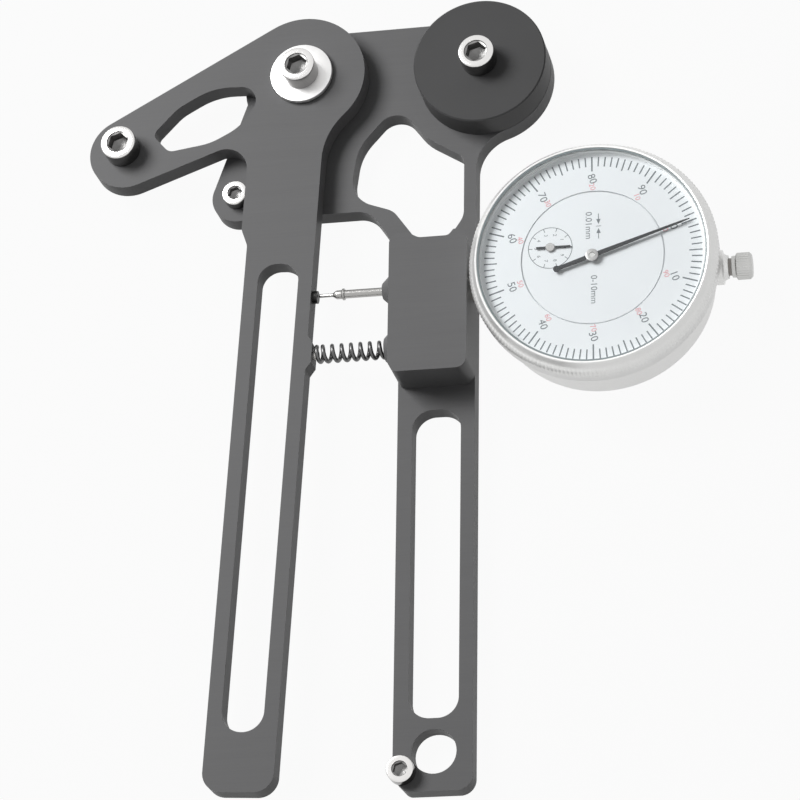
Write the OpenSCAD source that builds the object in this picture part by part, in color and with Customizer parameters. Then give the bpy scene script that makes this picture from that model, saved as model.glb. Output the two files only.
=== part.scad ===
// Spoke tension meter: two flat arms on a pivot post, three spoke posts, and a 0-10 mm dial gauge
// whose spindle reads how far the front arm has turned. Millimetres, +Z up.
// The origin is on the pivot axis, in the back face of the rear frame. The tool lies flat,
// handles toward -Y, and the rear handle runs along Y. The arms stand open against their stop.

/* [Plates] */
// Thickness of the rear frame and of the front arm
plate_t = 5; // [4:0.25:7]
// Air gap between the two plates at the pivot
plate_gap = 0.3; // [0.25:0.05:0.6]
// Radius of the round head of both plates at the pivot
head_r = 15.2; // [14:0.1:17]
// Distance from the pivot to the lower end of both handles
handle_reach = 176; // [150:1:190]
// Corner radius of the handle ends
corner_r = 4.5; // [2:0.25:6]
// Height of the bridge's upper edge above the pivot axis
bridge_y = 13.2; // [10:0.1:13.5]

/* [Front arm] */
// Angle that the front handle leans away from the rear one at rest
arm_lean = 2.8; // [0:0.1:5]
// Width of the front handle
front_w = 16.4; // [14.5:0.1:19]
// Distance of the front handle's centre line from the pivot axis
front_offset = 1.95; // [0:0.05:3]
// Width of the long slot in the front handle
front_slot_w = 9.8; // [6:0.2:11]
// Distance from the pivot to the upper end of the front slot
front_slot_top = 49; // [44:1:90]
// Metal left below both handle slots, at the front handle
front_slot_rest = 13.7; // [8:0.5:30]
// Distance from the pivot to the nose post
nose_reach = 46.6; // [42:0.1:52]
// Angle of the nose post below the horizontal
nose_drop = 20.2; // [14:0.2:24]
// Radius of the nose end
nose_r = 9.1; // [7.5:0.1:11]
// Slope of the nose's lower edge at rest
nose_slope = 19.2; // [17:0.1:24]
// Fillet where the nose's lower edge meets the stop face
nose_fillet = 5.5; // [3:0.25:6]
// How far the stop face stands out from the handle's edge
stop_land = 1.65; // [1.2:0.05:2.4]
// Distance from the pivot to the lower end of the stop face
stop_face_low = 40; // [37:0.5:44]
// Fillet between the round head and the handle's inner edge
neck_fillet = 17; // [10:0.5:22]

/* [Rear frame] */
// Inner edge of the rear handle, from the pivot axis
rear_in = 23.4; // [21:0.1:25]
// Width of the rear handle
rear_w = 18; // [16:0.25:20]
// Width of the long slot in the rear handle
rear_slot_w = 11.4; // [8:0.2:12]
// Distance from the pivot to the upper end of the rear slot
rear_slot_top = 85.9; // [84:0.5:120]
// Metal left below the rear slot, at the rear handle
rear_slot_rest = 16.8; // [16:0.2:40]
// Width of the upright strut beside the window
strut_w = 2.9; // [2.2:0.1:5]
// Radius of the ear under the opening stop screw
ear_r = 6.2; // [5.4:0.1:7]
// Diameter of the hanging hole
hang_d = 10.2; // [6:0.2:10.4]
// Distance of the hanging hole from the handle's end
hang_rest = 9.2; // [7.6:0.2:9.6]

/* [Block and boss] */
// Height of the block that holds the gauge's stem
block_h = 16; // [14.5:0.25:18]
// Upper end of the block, below the pivot axis
block_top = 45.8; // [45:0.1:46.8]
// Lower end of the block, below the pivot axis
block_low = 80.3; // [78:0.1:82]
// Distance from the pivot to the boss post
boss_reach = 43.4; // [42:0.1:46]
// Drop of the boss post below the pivot axis
boss_drop = 1; // [0:0.1:2]
// Radius of the boss and of the frame's end under it
boss_r = 15.9; // [14.6:0.1:16.4]
// Height of the boss above the frame
boss_h = 7.5; // [5:0.25:9]

/* [Screws] */
// Thread diameter of the three post screws
post_d = 5; // [4:0.5:6]
// Head diameter of the post screws, which the spoke bears on
post_head_d = 8.5; // [7:0.1:9.5]
// Head height of the post screws
post_head_h = 5; // [3.5:0.1:5.5]
// Width across the flats of the post screws' sockets
post_key = 4.4; // [3:0.1:4.8]
// Thread diameter of the two stop screws
stop_d = 3; // [2:0.25:3.5]
// Head diameter of the stop screws
stop_head_d = 6.2; // [5:0.1:6.3]
// Head height of the stop screws
stop_head_h = 3; // [2:0.1:4]
// Outer diameter of the bush that the front arm turns on
bush_d = 8; // [7:0.1:9]
// Diameter of the bright washer under the pivot screw
washer_d = 15; // [12:0.25:18]
// Thickness of that washer
washer_t = 1.2; // [0.8:0.1:2]

/* [Return spring] */
// Distance of the spring's axis below the pivot
spring_y = 71.5; // [70:0.25:73]
// Outer diameter of the spring
spring_d = 4.6; // [4:0.1:5.4]
// Wire diameter of the spring
wire_d = 0.85; // [0.6:0.05:0.95]
// Number of turns
spring_turns = 9; // [6:0.5:9.5]

/* [Gauge] */
// Gap between the rear handle and the gauge's bezel
gauge_gap = 0.9; // [0.6:0.05:3]
// Distance of the gauge's axis below the pivot
gauge_y = 56.8; // [56:0.1:58]
// Height of the spindle's axis above the back face
axis_z = 8; // [7.5:0.05:8.2]
// Height of the dial's face above the spindle's axis
face_rise = 11; // [11:0.05:12]
// Outer radius of the gauge's case
case_r = 26; // [24:0.1:28]
// How far the knurled bezel stands out from the case
bezel_wall = 2.7; // [2.2:0.1:3.5]
// Number of teeth in the bezel's knurling
knurls = 120; // [60:10:180]
// Diameter of the clamped stem
stem_d = 8; // [7:0.1:9]
// Diameter of the spindle
spindle_d = 4; // [3.6:0.1:4.4]
// Diameter of the contact rod
rod_d = 2; // [1.6:0.1:2.4]
// Diameter of the lifting knob
knob_d = 6.2; // [5.6:0.1:8]
// Distance from the gauge's centre to the needles' shared gear centres
gear_reach = 10.15; // [10.1:0.05:10.6]
// Radius of the small revolution dial
small_dial_r = 5.1; // [4:0.1:5.6]
// Radius of the fixed inner dial
inner_dial_r = 16.2; // [15.5:0.1:17]
// Direction of the main needle at rest, from +X
needle_angle = 18.5; // [0:0.5:360]

/* [Hidden] */

arc_step = 5;               // degrees between the points of a drawn arc
cut = 1;                    // how far a cutting shape reaches past what it cuts
fit = 0.05;                 // radial clearance of a running fit
seat = 0.02;                // radial clearance of a clamped or pressed fit
bury = 0.4;                 // how far a raised feature is sunk into its parent

arm_z = plate_t + plate_gap;
arm_top = arm_z + plate_t;
washer_z = arm_top + plate_gap;
handle_end = -handle_reach;

// Front arm, in its own frame: the handle runs along Y
front_left = -front_offset - front_w / 2;
front_right = -front_offset + front_w / 2;
nose = nose_reach * [-cos(nose_drop + arm_lean), -sin(nose_drop + arm_lean)];
nose_end = nose + [0.9, -0.65];                        // centre of the nose's round end
nose_tangent = asin((head_r - nose_r) / norm(nose_end));   // tilt of the upper edge
nose_top_dir = 270 + atan2(nose_end.y, nose_end.x) + nose_tangent;
nose_low_dir = nose_slope + arm_lean;                  // slope of the lower edge, in the arm's frame
stop_x = front_left - stop_land;
nose_low_at = nose_end + nose_r * [sin(nose_low_dir), -cos(nose_low_dir)];
nose_corner = [stop_x, nose_low_at.y + (stop_x - nose_low_at.x) * tan(nose_low_dir)];
neck_centre = [front_right + neck_fillet,
    -sqrt(pow(head_r + neck_fillet, 2) - pow(front_right + neck_fillet, 2))];
neck_dir = atan2(neck_centre.y, neck_centre.x);
step_fillet = 3;            // rounding of the step below the stop face
step_run = 4;               // length of that step
front_slot_low = handle_reach - front_slot_rest;

// Rear frame
rear_out = rear_in + rear_w;
rear_slot_low = handle_reach - rear_slot_rest;
hang_reach = handle_reach - hang_rest;
rear_mid = (rear_in + rear_out) / 2;
boss = [boss_reach, -boss_drop];
stop_ear = [-16.4, -28.3];
closing_stop = [rear_in + 2.2, handle_end + 4.8];
end_cut = 3;                // chamfer beside the closing stop screw
boss_fillet = 10;           // fillet between the strut and the round end
boss_fillet_at = [rear_out + boss_fillet, boss.y - sqrt(pow(boss_r + boss_fillet, 2)
    - pow(rear_out + boss_fillet - boss.x, 2))];
boss_fillet_dir = atan2(boss_fillet_at.y - boss.y, boss_fillet_at.x - boss.x);
bridge_head_dir = asin(bridge_y / head_r);
bridge_boss_dir = 180 - asin((bridge_y - boss.y) / boss_r);
window_right = rear_out - strut_w;
notch_low = -block_top - 1.5;
notch_top = -block_top + 1.2;
ear_low = stop_ear.y - ear_r;

// Gauge, along X
bezel_r = case_r + bezel_wall;
gauge_x = rear_out + gauge_gap + bezel_r;
hub = [gauge_x, -gauge_y];
face_z = axis_z + face_rise;
case_low = 2;               // lower edge of the case
case_wall = 1.6;
skirt_h = 4.8;              // height of the bezel's knurled skirt, below the dial's face
skirt_low = face_z - skirt_h;
skirt_in = case_r - 0.7;    // bore of the bezel's skirt
dial_t = 0.6;
rim_h = 2.4;                // height of the bezel above the dial's face
rim_top = face_z + rim_h;
lip_w = 0.3;                // how far the bezel's lip laps over the crystal
lip_t = 0.25;               // thickness of that lip
crystal_t = 0.7;
crystal_z = rim_top - lip_t - crystal_t;
rim_in = case_r + 0.6;      // bore of the bezel above the dial
case_left = gauge_x - case_r;
case_right = gauge_x + case_r;
block_nose = 2.9;           // how far the spindle's boss stands out from the block
rod_exit = rear_in - 0.3 - block_nose;
block_left = rear_in - 0.3;
stem_start = block_left + 1;
stem_end = case_left + case_wall + 1.5;
pad_rise = 1.2;             // how far the contact pad stands out from the arm's edge
// World place of the pad's face, where the rod's tip bears
wall_x = (front_right - gauge_y * sin(arm_lean)) / cos(arm_lean);
tip_x = wall_x + pad_rise + 0.12;
neck_end = case_right + 3.7;
knob_start = neck_end + 0.7;
knob_l = 4.6;

// Movement: one turn of the main needle for each millimetre, one of the small one for ten
pinion_r = 10 / (2 * PI) - fit;
rack_rise = 1.4;            // pitch line of the rack, from the spindle's axis
drive_at = hub + [-sqrt(pow(gear_reach, 2) - pow(rack_rise + 10 / (2 * PI), 2)),
    rack_rise + 10 / (2 * PI)];
take_up_at = 2 * hub - drive_at;
wheel_r = gear_reach * 10 / 11 - fit;
centre_pinion_r = gear_reach / 11 - fit;
lower_plate_z = axis_z + 3;
wheel_z = lower_plate_z + 2.4;
upper_plate_z = lower_plate_z + 5.4;
movement_t = 1;
movement_r = case_r - 4;
pillar_dirs = [75, 215, 300];  // clear of both wheels
pillar_reach = case_r - 6.5;
case_web_z = 3;
main_z = face_z + 0.7;      // underside of the main needle
small_z = face_z + 0.22;    // underside of the revolution needle
arbor_d = 1.2;
cover_screw_d = 1.6;
cover_head_d = 3;
spoke_hole_d = 4.2;         // openings in the wheels' webs
needle_reach = case_r - 2.4;
needle_tail = 8.6;          // distance from the main arbor to the needle's counterweight
needle_hub_d = 3;
arbor_up = 0.45;            // how far the main arbor reaches above its needle's underside
small_t = 0.2;              // thickness of the small needle

// Return spring
land_rise = 1.2;            // how far the spring's land stands out from the arm's edge
spring_boss = 2.1;          // how far the spring's boss stands out from the block
spring_recess = 0.5;        // how far the recess in that boss goes on into the block
spring_play = 0.2;          // radial play of the spring in the recess
spring_left = (front_right - spring_y * sin(arm_lean)) / cos(arm_lean) + land_rise + 0.22;
spring_right = block_left + spring_recess - 0.05;
close_turn = 0.6;           // pitch of the two end turns, as a share of the others'
pin_d = 2;                  // pins and sockets of the spring and of the contact pad

// Points of an arc about c, from angle a0 to a1
function arc(c, r, a0, a1) = let(n = max(1, ceil(abs(a1 - a0) / arc_step)))
    [for (k = [0:n]) let(a = a0 + (a1 - a0) * k / n) c + r * [cos(a), sin(a)]];

// Points that round the corner at b, between a and c, with radius r
function corner(a, b, c, r) = r == 0 ? [b] :
    let(u = (a - b) / norm(a - b), v = (c - b) / norm(c - b),
        half = acos(max(-1, min(1, u * v))) / 2,
        o = b + (u + v) / norm(u + v) * r / sin(half),
        p = b + u * r / tan(half), q = b + v * r / tan(half),
        a0 = atan2(p.y - o.y, p.x - o.x), a1 = atan2(q.y - o.y, q.x - o.x),
        turn = a1 - a0 > 180 ? a1 - a0 - 360 : a1 - a0 < -180 ? a1 - a0 + 360 : a1 - a0)
    arc(o, r, a0, a0 + turn);

// Rounds the inner corners of an open chain of [x, y, radius]
function chain(p) = [for (i = [1:len(p) - 2])
    each corner([p[i - 1].x, p[i - 1].y], [p[i].x, p[i].y], [p[i + 1].x, p[i + 1].y], p[i].z)];

// Rounds every corner of a closed outline of [x, y, radius]
function closed(p) = chain([p[len(p) - 1], each p, p[0]]);

module plate(points, z, t) {
    translate([0, 0, z]) linear_extrude(height = t) polygon(points);
}

module post(d, z, h, at = [0, 0]) {
    translate([at.x, at.y, z]) cylinder(h = h, d = d, $fn = 48);
}

// A ring or tube about +Z
module ring(d_out, d_in, z, h, at = [0, 0]) {
    difference() {
        post(d_out, z, h, at);
        post(d_in, z - cut, h + 2 * cut, at);
    }
}

// Turns what is drawn about +Z so that it runs along +X from x, on the gauge's axis
module along_x(x, y = -gauge_y, z = axis_z) {
    translate([x, y, z]) rotate([0, 90, 0]) children();
}

// Places what is drawn in the front arm's own frame
module arm_frame() {
    rotate([0, 0, -arm_lean]) children();
}

// Cap screw with a chamfered head and a hexagon socket; its shank goes down from z
module cap_screw(at, z, d, length, head_d, head_h, key) {
    bevel = 0.45;
    translate([at.x, at.y, z]) {
        difference() {
            union() {
                cylinder(h = head_h - bevel, d = head_d, $fn = 48);
                translate([0, 0, head_h - bevel])
                    cylinder(h = bevel, d1 = head_d, d2 = head_d - 2 * bevel, $fn = 48);
            }
            translate([0, 0, head_h * 0.45])
                cylinder(h = head_h, d = key / cos(30), $fn = 6);
        }
        translate([0, 0, -length]) cylinder(h = length + bury, d = d, $fn = 48);
    }
}

// --- Plates -------------------------------------------------------------------------------

module front_outline() {
    polygon([
        each arc([0, 0], head_r, neck_dir, nose_top_dir),
        each arc(nose_end, nose_r, nose_top_dir, nose_low_dir + 270),
        each chain([
            [nose_end.x, nose_low_at.y, 0],
            [nose_corner.x, nose_corner.y, nose_fillet],
            [stop_x, -stop_face_low, step_fillet],
            [front_left, -stop_face_low - step_run, step_fillet],
            [front_left, handle_end, corner_r],
            [front_right, handle_end, corner_r],
            [front_right, neck_centre.y, 0],
        ]),
        each arc(neck_centre, neck_fillet, 180, 180 + neck_dir),
    ]);
}

// The eye-shaped opening in the nose, in the arm's frame, follows the nose post
function eye_points() = closed([
    for (p = [[6.9, 3.8, 1.8], [12.7, 10.7, 10], [20.9, 15.8, 16], [34.6, 15.8, 3.8],
            [28.6, 5.2, 12], [21.5, 1.1, 14], [11.4, -0.8, 2.4]])
        [nose.x + p.x, nose.y + p.y, p.z]]);

function front_slot_points() = let(l = -front_offset - front_slot_w / 2,
        r = -front_offset + front_slot_w / 2, e = front_slot_w / 2 - 0.05)
    closed([[l, -front_slot_top, e - 0.4], [l, -front_slot_low, e], [r, -front_slot_low, e],
        [r, -front_slot_top, e - 0.4]]);

// Raised land that the return spring presses on, at the handle's inner edge
module spring_land() {
    half = spring_d / 2 + 2;
    tip = spring_d / 2 + 0.1;
    y = -spring_y;
    top = front_right + land_rise;
    polygon([[front_right - bury, y - half], [front_right, y - half], [top, y - tip],
        [top, y + tip], [front_right, y + half], [front_right - bury, y + half]]);
}

module front_arm() {
    color([0.42, 0.42, 0.42]) arm_frame() difference() {
        translate([0, 0, arm_z]) linear_extrude(height = plate_t) {
            front_outline();
            spring_land();
        }
        plate(front_slot_points(), arm_z - cut, plate_t + 2 * cut);
        plate(eye_points(), arm_z - cut, plate_t + 2 * cut);
        post(bush_d + 2 * fit, arm_z - cut, plate_t + 2 * cut);
        post(post_d + 2 * seat, arm_z - cut, plate_t + 2 * cut, nose);
        // Sockets of the contact pad and of the spring's pin
        translate([front_right - 3, -gauge_y, axis_z]) rotate([0, 90, 0])
            cylinder(h = 3 + cut, d = pin_d + 2 * seat, $fn = 32);
        translate([front_right - 2, -spring_y, axis_z]) rotate([0, 90, 0])
            cylinder(h = 4, d = pin_d + 2 * seat, $fn = 32);
    }
}

module rear_outline() {
    polygon([
        each arc([0, 0], head_r, bridge_head_dir, 195),
        each arc(stop_ear, ear_r, 165, 270),
        each chain([
            [stop_ear.x, ear_low, 0],
            [block_left - 7.2, ear_low, 6],
            [block_left - 3.2, -block_top + 5.4, 4],
            [block_left, -block_top - 0.7, 5],
            [rear_in, -block_low, 0],
            [rear_in, handle_end + 3.4, 2],
            [rear_in + end_cut, handle_end + 0.2, 2],
            [rear_out, handle_end + 0.2, corner_r - 1],
            [rear_out, boss_fillet_at.y, 0],
        ]),
        each arc(boss_fillet_at, boss_fillet, 180, 180 + boss_fillet_dir),
        each arc(boss, boss_r, boss_fillet_dir, bridge_boss_dir),
    ]);
}

// Window between the head, the boss and the block
function window_points() = closed([
    [22.1, -7.1, 4.9], [12.7, -17.8, 13], [11.0, -31.0, 7], [block_left - 1.5, -block_top + 10.9, 5],
    [block_left + 6.3, -block_top, 1.5], [window_right - 5.3, -block_top, 1.5],
    [window_right, -block_top + 8.2, 5], [window_right, -22.3, 3], [29.2, -16.5, 12]]);

// Recess in the block's upper side, above the window
function notch_points() = closed([
    [block_left + 2.1, notch_top, 0], [block_left + 6.9, notch_low, 2.5],
    [window_right - 1.5, notch_low, 1.6], [window_right + 0.7, notch_top, 0]]);

function rear_slot_points() = let(l = rear_mid + 0.1 - rear_slot_w / 2, r = l + rear_slot_w, e = 4.8)
    closed([[l, -rear_slot_top, e], [l, -rear_slot_low, e], [r, -rear_slot_low, e],
        [r, -rear_slot_top, e]]);

function block_points() = closed([
    [block_left, -block_top, 2.5], [block_left, -block_low + 2.3, 1.5],
    [block_left + 1.3, -block_low, 1.5], [rear_out, -block_low, 2.5], [rear_out, -block_top, 3]]);

// Tapered boss on the block's inner side, about the spindle or the spring
module side_boss(y, rise, tip_d) {
    translate([block_left - rise, y, axis_z]) rotate([0, 90, 0])
        cylinder(h = rise + 1, d1 = tip_d, d2 = tip_d + 2 * rise + 1.6, $fn = 48);
}

module rear_frame() {
    color([0.40, 0.40, 0.40]) difference() {
        union() {
            linear_extrude(height = plate_t) rear_outline();
            plate(block_points(), 0, block_h);
            side_boss(-gauge_y, block_nose, rod_d + 1.8);
            side_boss(-spring_y, spring_boss, spring_d + 1);
        }
        plate(window_points(), -cut, block_h + 2 * cut);
        plate(notch_points(), plate_t, block_h);
        plate(rear_slot_points(), -cut, plate_t + 2 * cut);
        post(post_d + 2 * seat, -cut, plate_t + 2 * cut);
        post(post_d + 2 * seat, -cut, plate_t + 2 * cut, boss);
        post(stop_d + 2 * seat, -cut, plate_t + 2 * cut, stop_ear);
        post(stop_d + 2 * seat, -cut, plate_t + 2 * cut, closing_stop);
        post(hang_d, -cut, plate_t + 2 * cut, [rear_mid + 0.3, -hang_reach]);
        // Bore for the gauge's stem, and the rod's way out
        along_x(stem_start) cylinder(h = rear_out, d = stem_d + 2 * seat, $fn = 48);
        along_x(rod_exit - cut) cylinder(h = 10, d = rod_d + 0.6, $fn = 32);
        // Tapped hole of the clamp screw, and the spring's recess with its pin's socket
        post(stop_d + 2 * seat, -cut, axis_z, [rear_mid, -gauge_y]);
        along_x(block_left - spring_boss - cut, -spring_y)
            cylinder(h = spring_boss + spring_recess + cut, d = spring_d + 2 * spring_play, $fn = 48);
        along_x(block_left, -spring_y) cylinder(h = 5, d = pin_d + 2 * seat, $fn = 32);
    }
}

// --- Pivot, posts and stops ---------------------------------------------------------------

module pivot_bush() {
    color([0.72, 0.58, 0.32]) ring(bush_d, post_d + 2 * seat, plate_t, washer_z - plate_t);
}

module thrust_washer() {
    color([0.86, 0.85, 0.80]) ring(bush_d + 6, bush_d + 2 * fit, plate_t, plate_gap - 0.1);
}

module pivot_washer() {
    color([0.86, 0.86, 0.86]) ring(washer_d, post_d + 2 * seat, washer_z, washer_t);
}

module pivot_screw() {
    color([0.8, 0.8, 0.8]) cap_screw([0, 0], washer_z + washer_t, post_d,
        washer_z + washer_t - 0.2, post_head_d, post_head_h, post_key);
}

module nose_screw() {
    color([0.8, 0.8, 0.8]) arm_frame()
        cap_screw(nose, arm_top, post_d, plate_t - 0.2, post_head_d, post_head_h, post_key);
}

module boss_spacer() {
    color([0.33, 0.33, 0.33]) difference() {
        union() {
            post(2 * boss_r - 0.1, plate_t, boss_h - 0.3, boss);
            translate([boss.x, boss.y, plate_t + boss_h - 0.3])
                cylinder(h = 0.3, d1 = 2 * boss_r - 0.1, d2 = 2 * boss_r - 0.7, $fn = 72);
        }
        post(post_d + 2 * seat, plate_t - cut, boss_h + 2 * cut, boss);
    }
}

module boss_screw() {
    color([0.8, 0.8, 0.8]) cap_screw(boss, plate_t + boss_h, post_d, plate_t + boss_h - 0.2,
        post_head_d, post_head_h, post_key);
}

module stop_screw(at) {
    color([0.82, 0.82, 0.82]) cap_screw(at, plate_t, stop_d, plate_t - 0.2, stop_head_d,
        stop_head_h, stop_d - 0.2);
}

module opening_stop_screw() {
    stop_screw(stop_ear);
}

module closing_stop_screw() {
    stop_screw(closing_stop);
}

// Hardened button that the gauge's rod bears on
module contact_pad() {
    color([0.2, 0.2, 0.2]) arm_frame() translate([front_right, -gauge_y, axis_z]) rotate([0, 90, 0]) {
        cylinder(h = pad_rise, d = 3, $fn = 32);
        translate([0, 0, -2.8]) cylinder(h = 2.8 + bury, d = pin_d, $fn = 32);
    }
}

// --- Return spring ------------------------------------------------------------------------

module arm_spring_pin() {
    color([0.55, 0.55, 0.56]) arm_frame() translate([front_right - 1.8, -spring_y, axis_z])
        rotate([0, 90, 0]) cylinder(h = 4.2, d = pin_d, $fn = 32);
}

module block_spring_pin() {
    color([0.55, 0.55, 0.56]) along_x(block_left - 1.4, -spring_y)
        cylinder(h = 6, d = pin_d, $fn = 32);
}

// Height of turn t: the two end turns lie closer
function spring_run(t) = let(n = spring_turns, c = close_turn)
    t < 1 ? c * t : t > n - 1 ? n - 2 + c + c * (t - n + 1) : c + t - 1;

spring_mid_r = (spring_d - wire_d) / 2;
spring_pitch = (spring_right - spring_left - wire_d) / spring_run(spring_turns);
ring_steps = 8;             // rings of the tube in one turn
tube_sides = 6;

function spring_point(t) = [spring_left + wire_d / 2 + spring_run(t) * spring_pitch,
    -spring_y + spring_mid_r * cos(360 * t), axis_z + spring_mid_r * sin(360 * t)];

function spring_ring(t) = let(p = spring_point(t), out = [0, cos(360 * t), sin(360 * t)],
        slope = atan2(spring_run(min(t + 0.1, spring_turns)) - spring_run(max(t - 0.1, 0)),
            2 * PI * spring_mid_r * 0.2 / spring_pitch),
        side = [cos(slope), -sin(slope) * -sin(360 * t), -sin(slope) * cos(360 * t)])
    [for (k = [0:tube_sides - 1]) let(a = 360 * k / tube_sides)
        p + wire_d / 2 * (cos(a) * out + sin(a) * side)];

module return_spring() {
    rings = spring_turns * ring_steps;
    points = [for (i = [0:rings]) each spring_ring(i / ring_steps)];
    walls = [for (i = [0:rings - 1], k = [0:tube_sides - 1])
        let(a = i * tube_sides + k, b = i * tube_sides + (k + 1) % tube_sides)
        each [[a, a + tube_sides, b], [b, a + tube_sides, b + tube_sides]]];
    ends = [for (k = [1:tube_sides - 2]) each [[0, k, k + 1],
        [rings * tube_sides, rings * tube_sides + k + 1, rings * tube_sides + k]]];
    color([0.25, 0.25, 0.26]) polyhedron(points = points, faces = [each walls, each ends]);
}

// Least air between one turn and the next, measured on the wire's centre line
function turn_gaps() = [for (i = [0:ring_steps * (spring_turns - 1)]) let(t = i / ring_steps)
    min([for (d = [-2:2]) norm(spring_point(min(spring_turns, t + 1 + d / 16)) - spring_point(t))])
        - wire_d];
echo(least_gap_of_the_return_spring = min(turn_gaps()));

// --- Gauge case ---------------------------------------------------------------------------

module gauge_case() {
    top = face_z - dial_t - 0.3;
    color([0.86, 0.86, 0.85]) difference() {
        union() {
            post(2 * case_r, case_low, skirt_low - 0.3 - case_low, hub);
            post(2 * (skirt_in - 0.1), case_low, top - case_low, hub);
        }
        post(2 * (case_r - case_wall), case_web_z + 1.2, face_z, hub);
        post(2 * (case_r - case_wall), case_low - cut, case_web_z - case_low + cut, hub);
        post(12, case_low - cut, 4, hub);
        along_x(case_left - cut) cylinder(h = 10, d = stem_d + 2 * seat, $fn = 48);
        along_x(case_right - 10) cylinder(h = 10 + cut, d = 5.4 + 2 * seat, $fn = 48);
        for (a = pillar_dirs) rotate_about_hub(a) post(cover_screw_d, case_low, 4, [pillar_reach, 0]);
    }
}

module rotate_about_hub(a) {
    translate([hub.x, hub.y, 0]) rotate([0, 0, a]) children();
}

module back_cover() {
    color([0.84, 0.84, 0.83]) difference() {
        post(2 * (case_r - case_wall - 0.1), case_low - 0.8, case_web_z - case_low + 0.8, hub);
        for (a = pillar_dirs) rotate_about_hub(a) post(cover_screw_d + 2 * seat, 0, 4, [pillar_reach, 0]);
    }
}

module cover_screws() {
    color([0.7, 0.7, 0.7]) for (a = pillar_dirs) rotate_about_hub(a) {
        post(cover_screw_d, case_low - 0.8, case_web_z - case_low + 1.8, [pillar_reach, 0]);
        difference() {
            post(cover_head_d, case_low - 1.4, 0.6, [pillar_reach, 0]);
            translate([pillar_reach - cover_head_d, -0.25, case_low - 1.4 - cut])
                cube([2 * cover_head_d, 0.5, cut + 0.3]);
        }
    }
}

module stem() {
    color([0.8, 0.8, 0.8]) along_x(stem_start) difference() {
        cylinder(h = stem_end - stem_start, d = stem_d, $fn = 48);
        translate([0, 0, -cut]) cylinder(h = stem_end, d = spindle_d + 1.4, $fn = 48);
    }
}

module stem_bushes() {
    bush_l = 5;
    color([0.72, 0.58, 0.32]) for (x = [stem_start + 3, stem_end - bush_l]) along_x(x) difference() {
        cylinder(h = bush_l, d = spindle_d + 1.4 - 2 * seat, $fn = 48);
        translate([0, 0, -cut]) cylinder(h = bush_l + 2 * cut, d = spindle_d + 2 * fit, $fn = 48);
    }
}

module stem_clamp_screw() {
    top = axis_z - stem_d / 2 - 0.05;
    color([0.2, 0.2, 0.2]) difference() {
        post(3, 0.4, top - 0.4, [rear_mid, -gauge_y]);
        translate([rear_mid, -gauge_y, 0.4 - cut]) cylinder(h = 1.6 + cut, d = 1.5 / cos(30), $fn = 6);
    }
}

module neck_bush() {
    color([0.82, 0.82, 0.82]) along_x(case_right - case_wall - 2) difference() {
        cylinder(h = neck_end - case_right + case_wall + 2, d = 5.4, $fn = 48);
        translate([0, 0, -cut]) cylinder(h = 20, d = spindle_d + 2 * fit, $fn = 48);
    }
}

// --- Spindle and what rides on it ---------------------------------------------------------

rod_flange = 6.3;           // distance from the rod's tip to the back of its flange
rod_bite = 4;               // length of rod held in the spindle
spindle_start = stem_start + 2;

module spindle() {
    rack_start = drive_at.x - 4;
    rack_end = drive_at.x + 2;
    pitch = 0.625;
    color([0.83, 0.83, 0.84]) difference() {
        union() {
            along_x(spindle_start) cylinder(h = knob_start - spindle_start, d = spindle_d, $fn = 48);
            along_x(knob_start - cut) cylinder(h = knob_l - 0.6, d = 2.4, $fn = 32);
        }
        along_x(spindle_start - cut) cylinder(h = rod_bite + cut, d = rod_d + 2 * seat, $fn = 32);
        // Flat of the rack, long enough for the whole travel
        translate([rack_start - 10, -gauge_y + rack_rise - 0.02, axis_z - 3])
            cube([rack_end - rack_start + 12, 3, 6]);
        for (i = [0:floor((rack_end - rack_start + 8) / pitch)])
            translate([rack_start - 8 + i * pitch, -gauge_y + rack_rise - 0.4, axis_z - 3])
                cube([pitch / 2, 1, 6]);
        // Cross hole of the guide pin
        translate([guide_x, -gauge_y + 3, axis_z]) rotate([90, 0, 0])
            cylinder(h = 6, d = 1.5 + 2 * seat, $fn = 32);
    }
}

module contact_point() {
    pin_l = 3.4;
    cone_l = 0.9;
    body_l = 1.4;
    flange_l = 0.6;
    color([0.78, 0.78, 0.78]) along_x(tip_x) {
        cylinder(h = 0.3, d1 = 0.5, d2 = 0.9, $fn = 32);
        translate([0, 0, 0.3]) cylinder(h = pin_l - 0.3, d = 0.9, $fn = 32);
        translate([0, 0, pin_l]) cylinder(h = cone_l, d1 = 0.9, d2 = rod_d + 0.1, $fn = 32);
        translate([0, 0, pin_l + cone_l]) cylinder(h = body_l, d = rod_d + 0.1, $fn = 32);
        translate([0, 0, rod_flange - flange_l]) cylinder(h = flange_l, d = rod_d + 0.8, $fn = 32);
        translate([0, 0, rod_flange])
            cylinder(h = spindle_start + rod_bite - 0.3 - tip_x - rod_flange, d = rod_d, $fn = 32);
    }
}

module lifting_knob() {
    rim = 0.5;
    color([0.75, 0.75, 0.74]) along_x(knob_start) difference() {
        union() {
            linear_extrude(height = 1.2) circle(d = knob_d - 1, $fn = 48);
            translate([0, 0, 1]) linear_extrude(height = knob_l - 1 - rim)
                polygon([for (i = [0:71]) (knob_d / 2 - 0.12 * (i % 2)) * [cos(5 * i), sin(5 * i)]]);
            translate([0, 0, knob_l - rim])
                cylinder(h = rim, d1 = knob_d - 0.3, d2 = knob_d - 1.2, $fn = 48);
        }
        translate([0, 0, -cut]) cylinder(h = knob_l - 1.4 + cut, d = 2.4 + 2 * seat, $fn = 32);
    }
}

guide_x = case_right - 17;
guide_l = 7;

module guide_pin() {
    color([0.6, 0.6, 0.6]) translate([guide_x, -gauge_y + spindle_d / 2 - 0.5, axis_z])
        rotate([90, 0, 0]) cylinder(h = guide_l, d = 1.5, $fn = 32);
}

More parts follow.
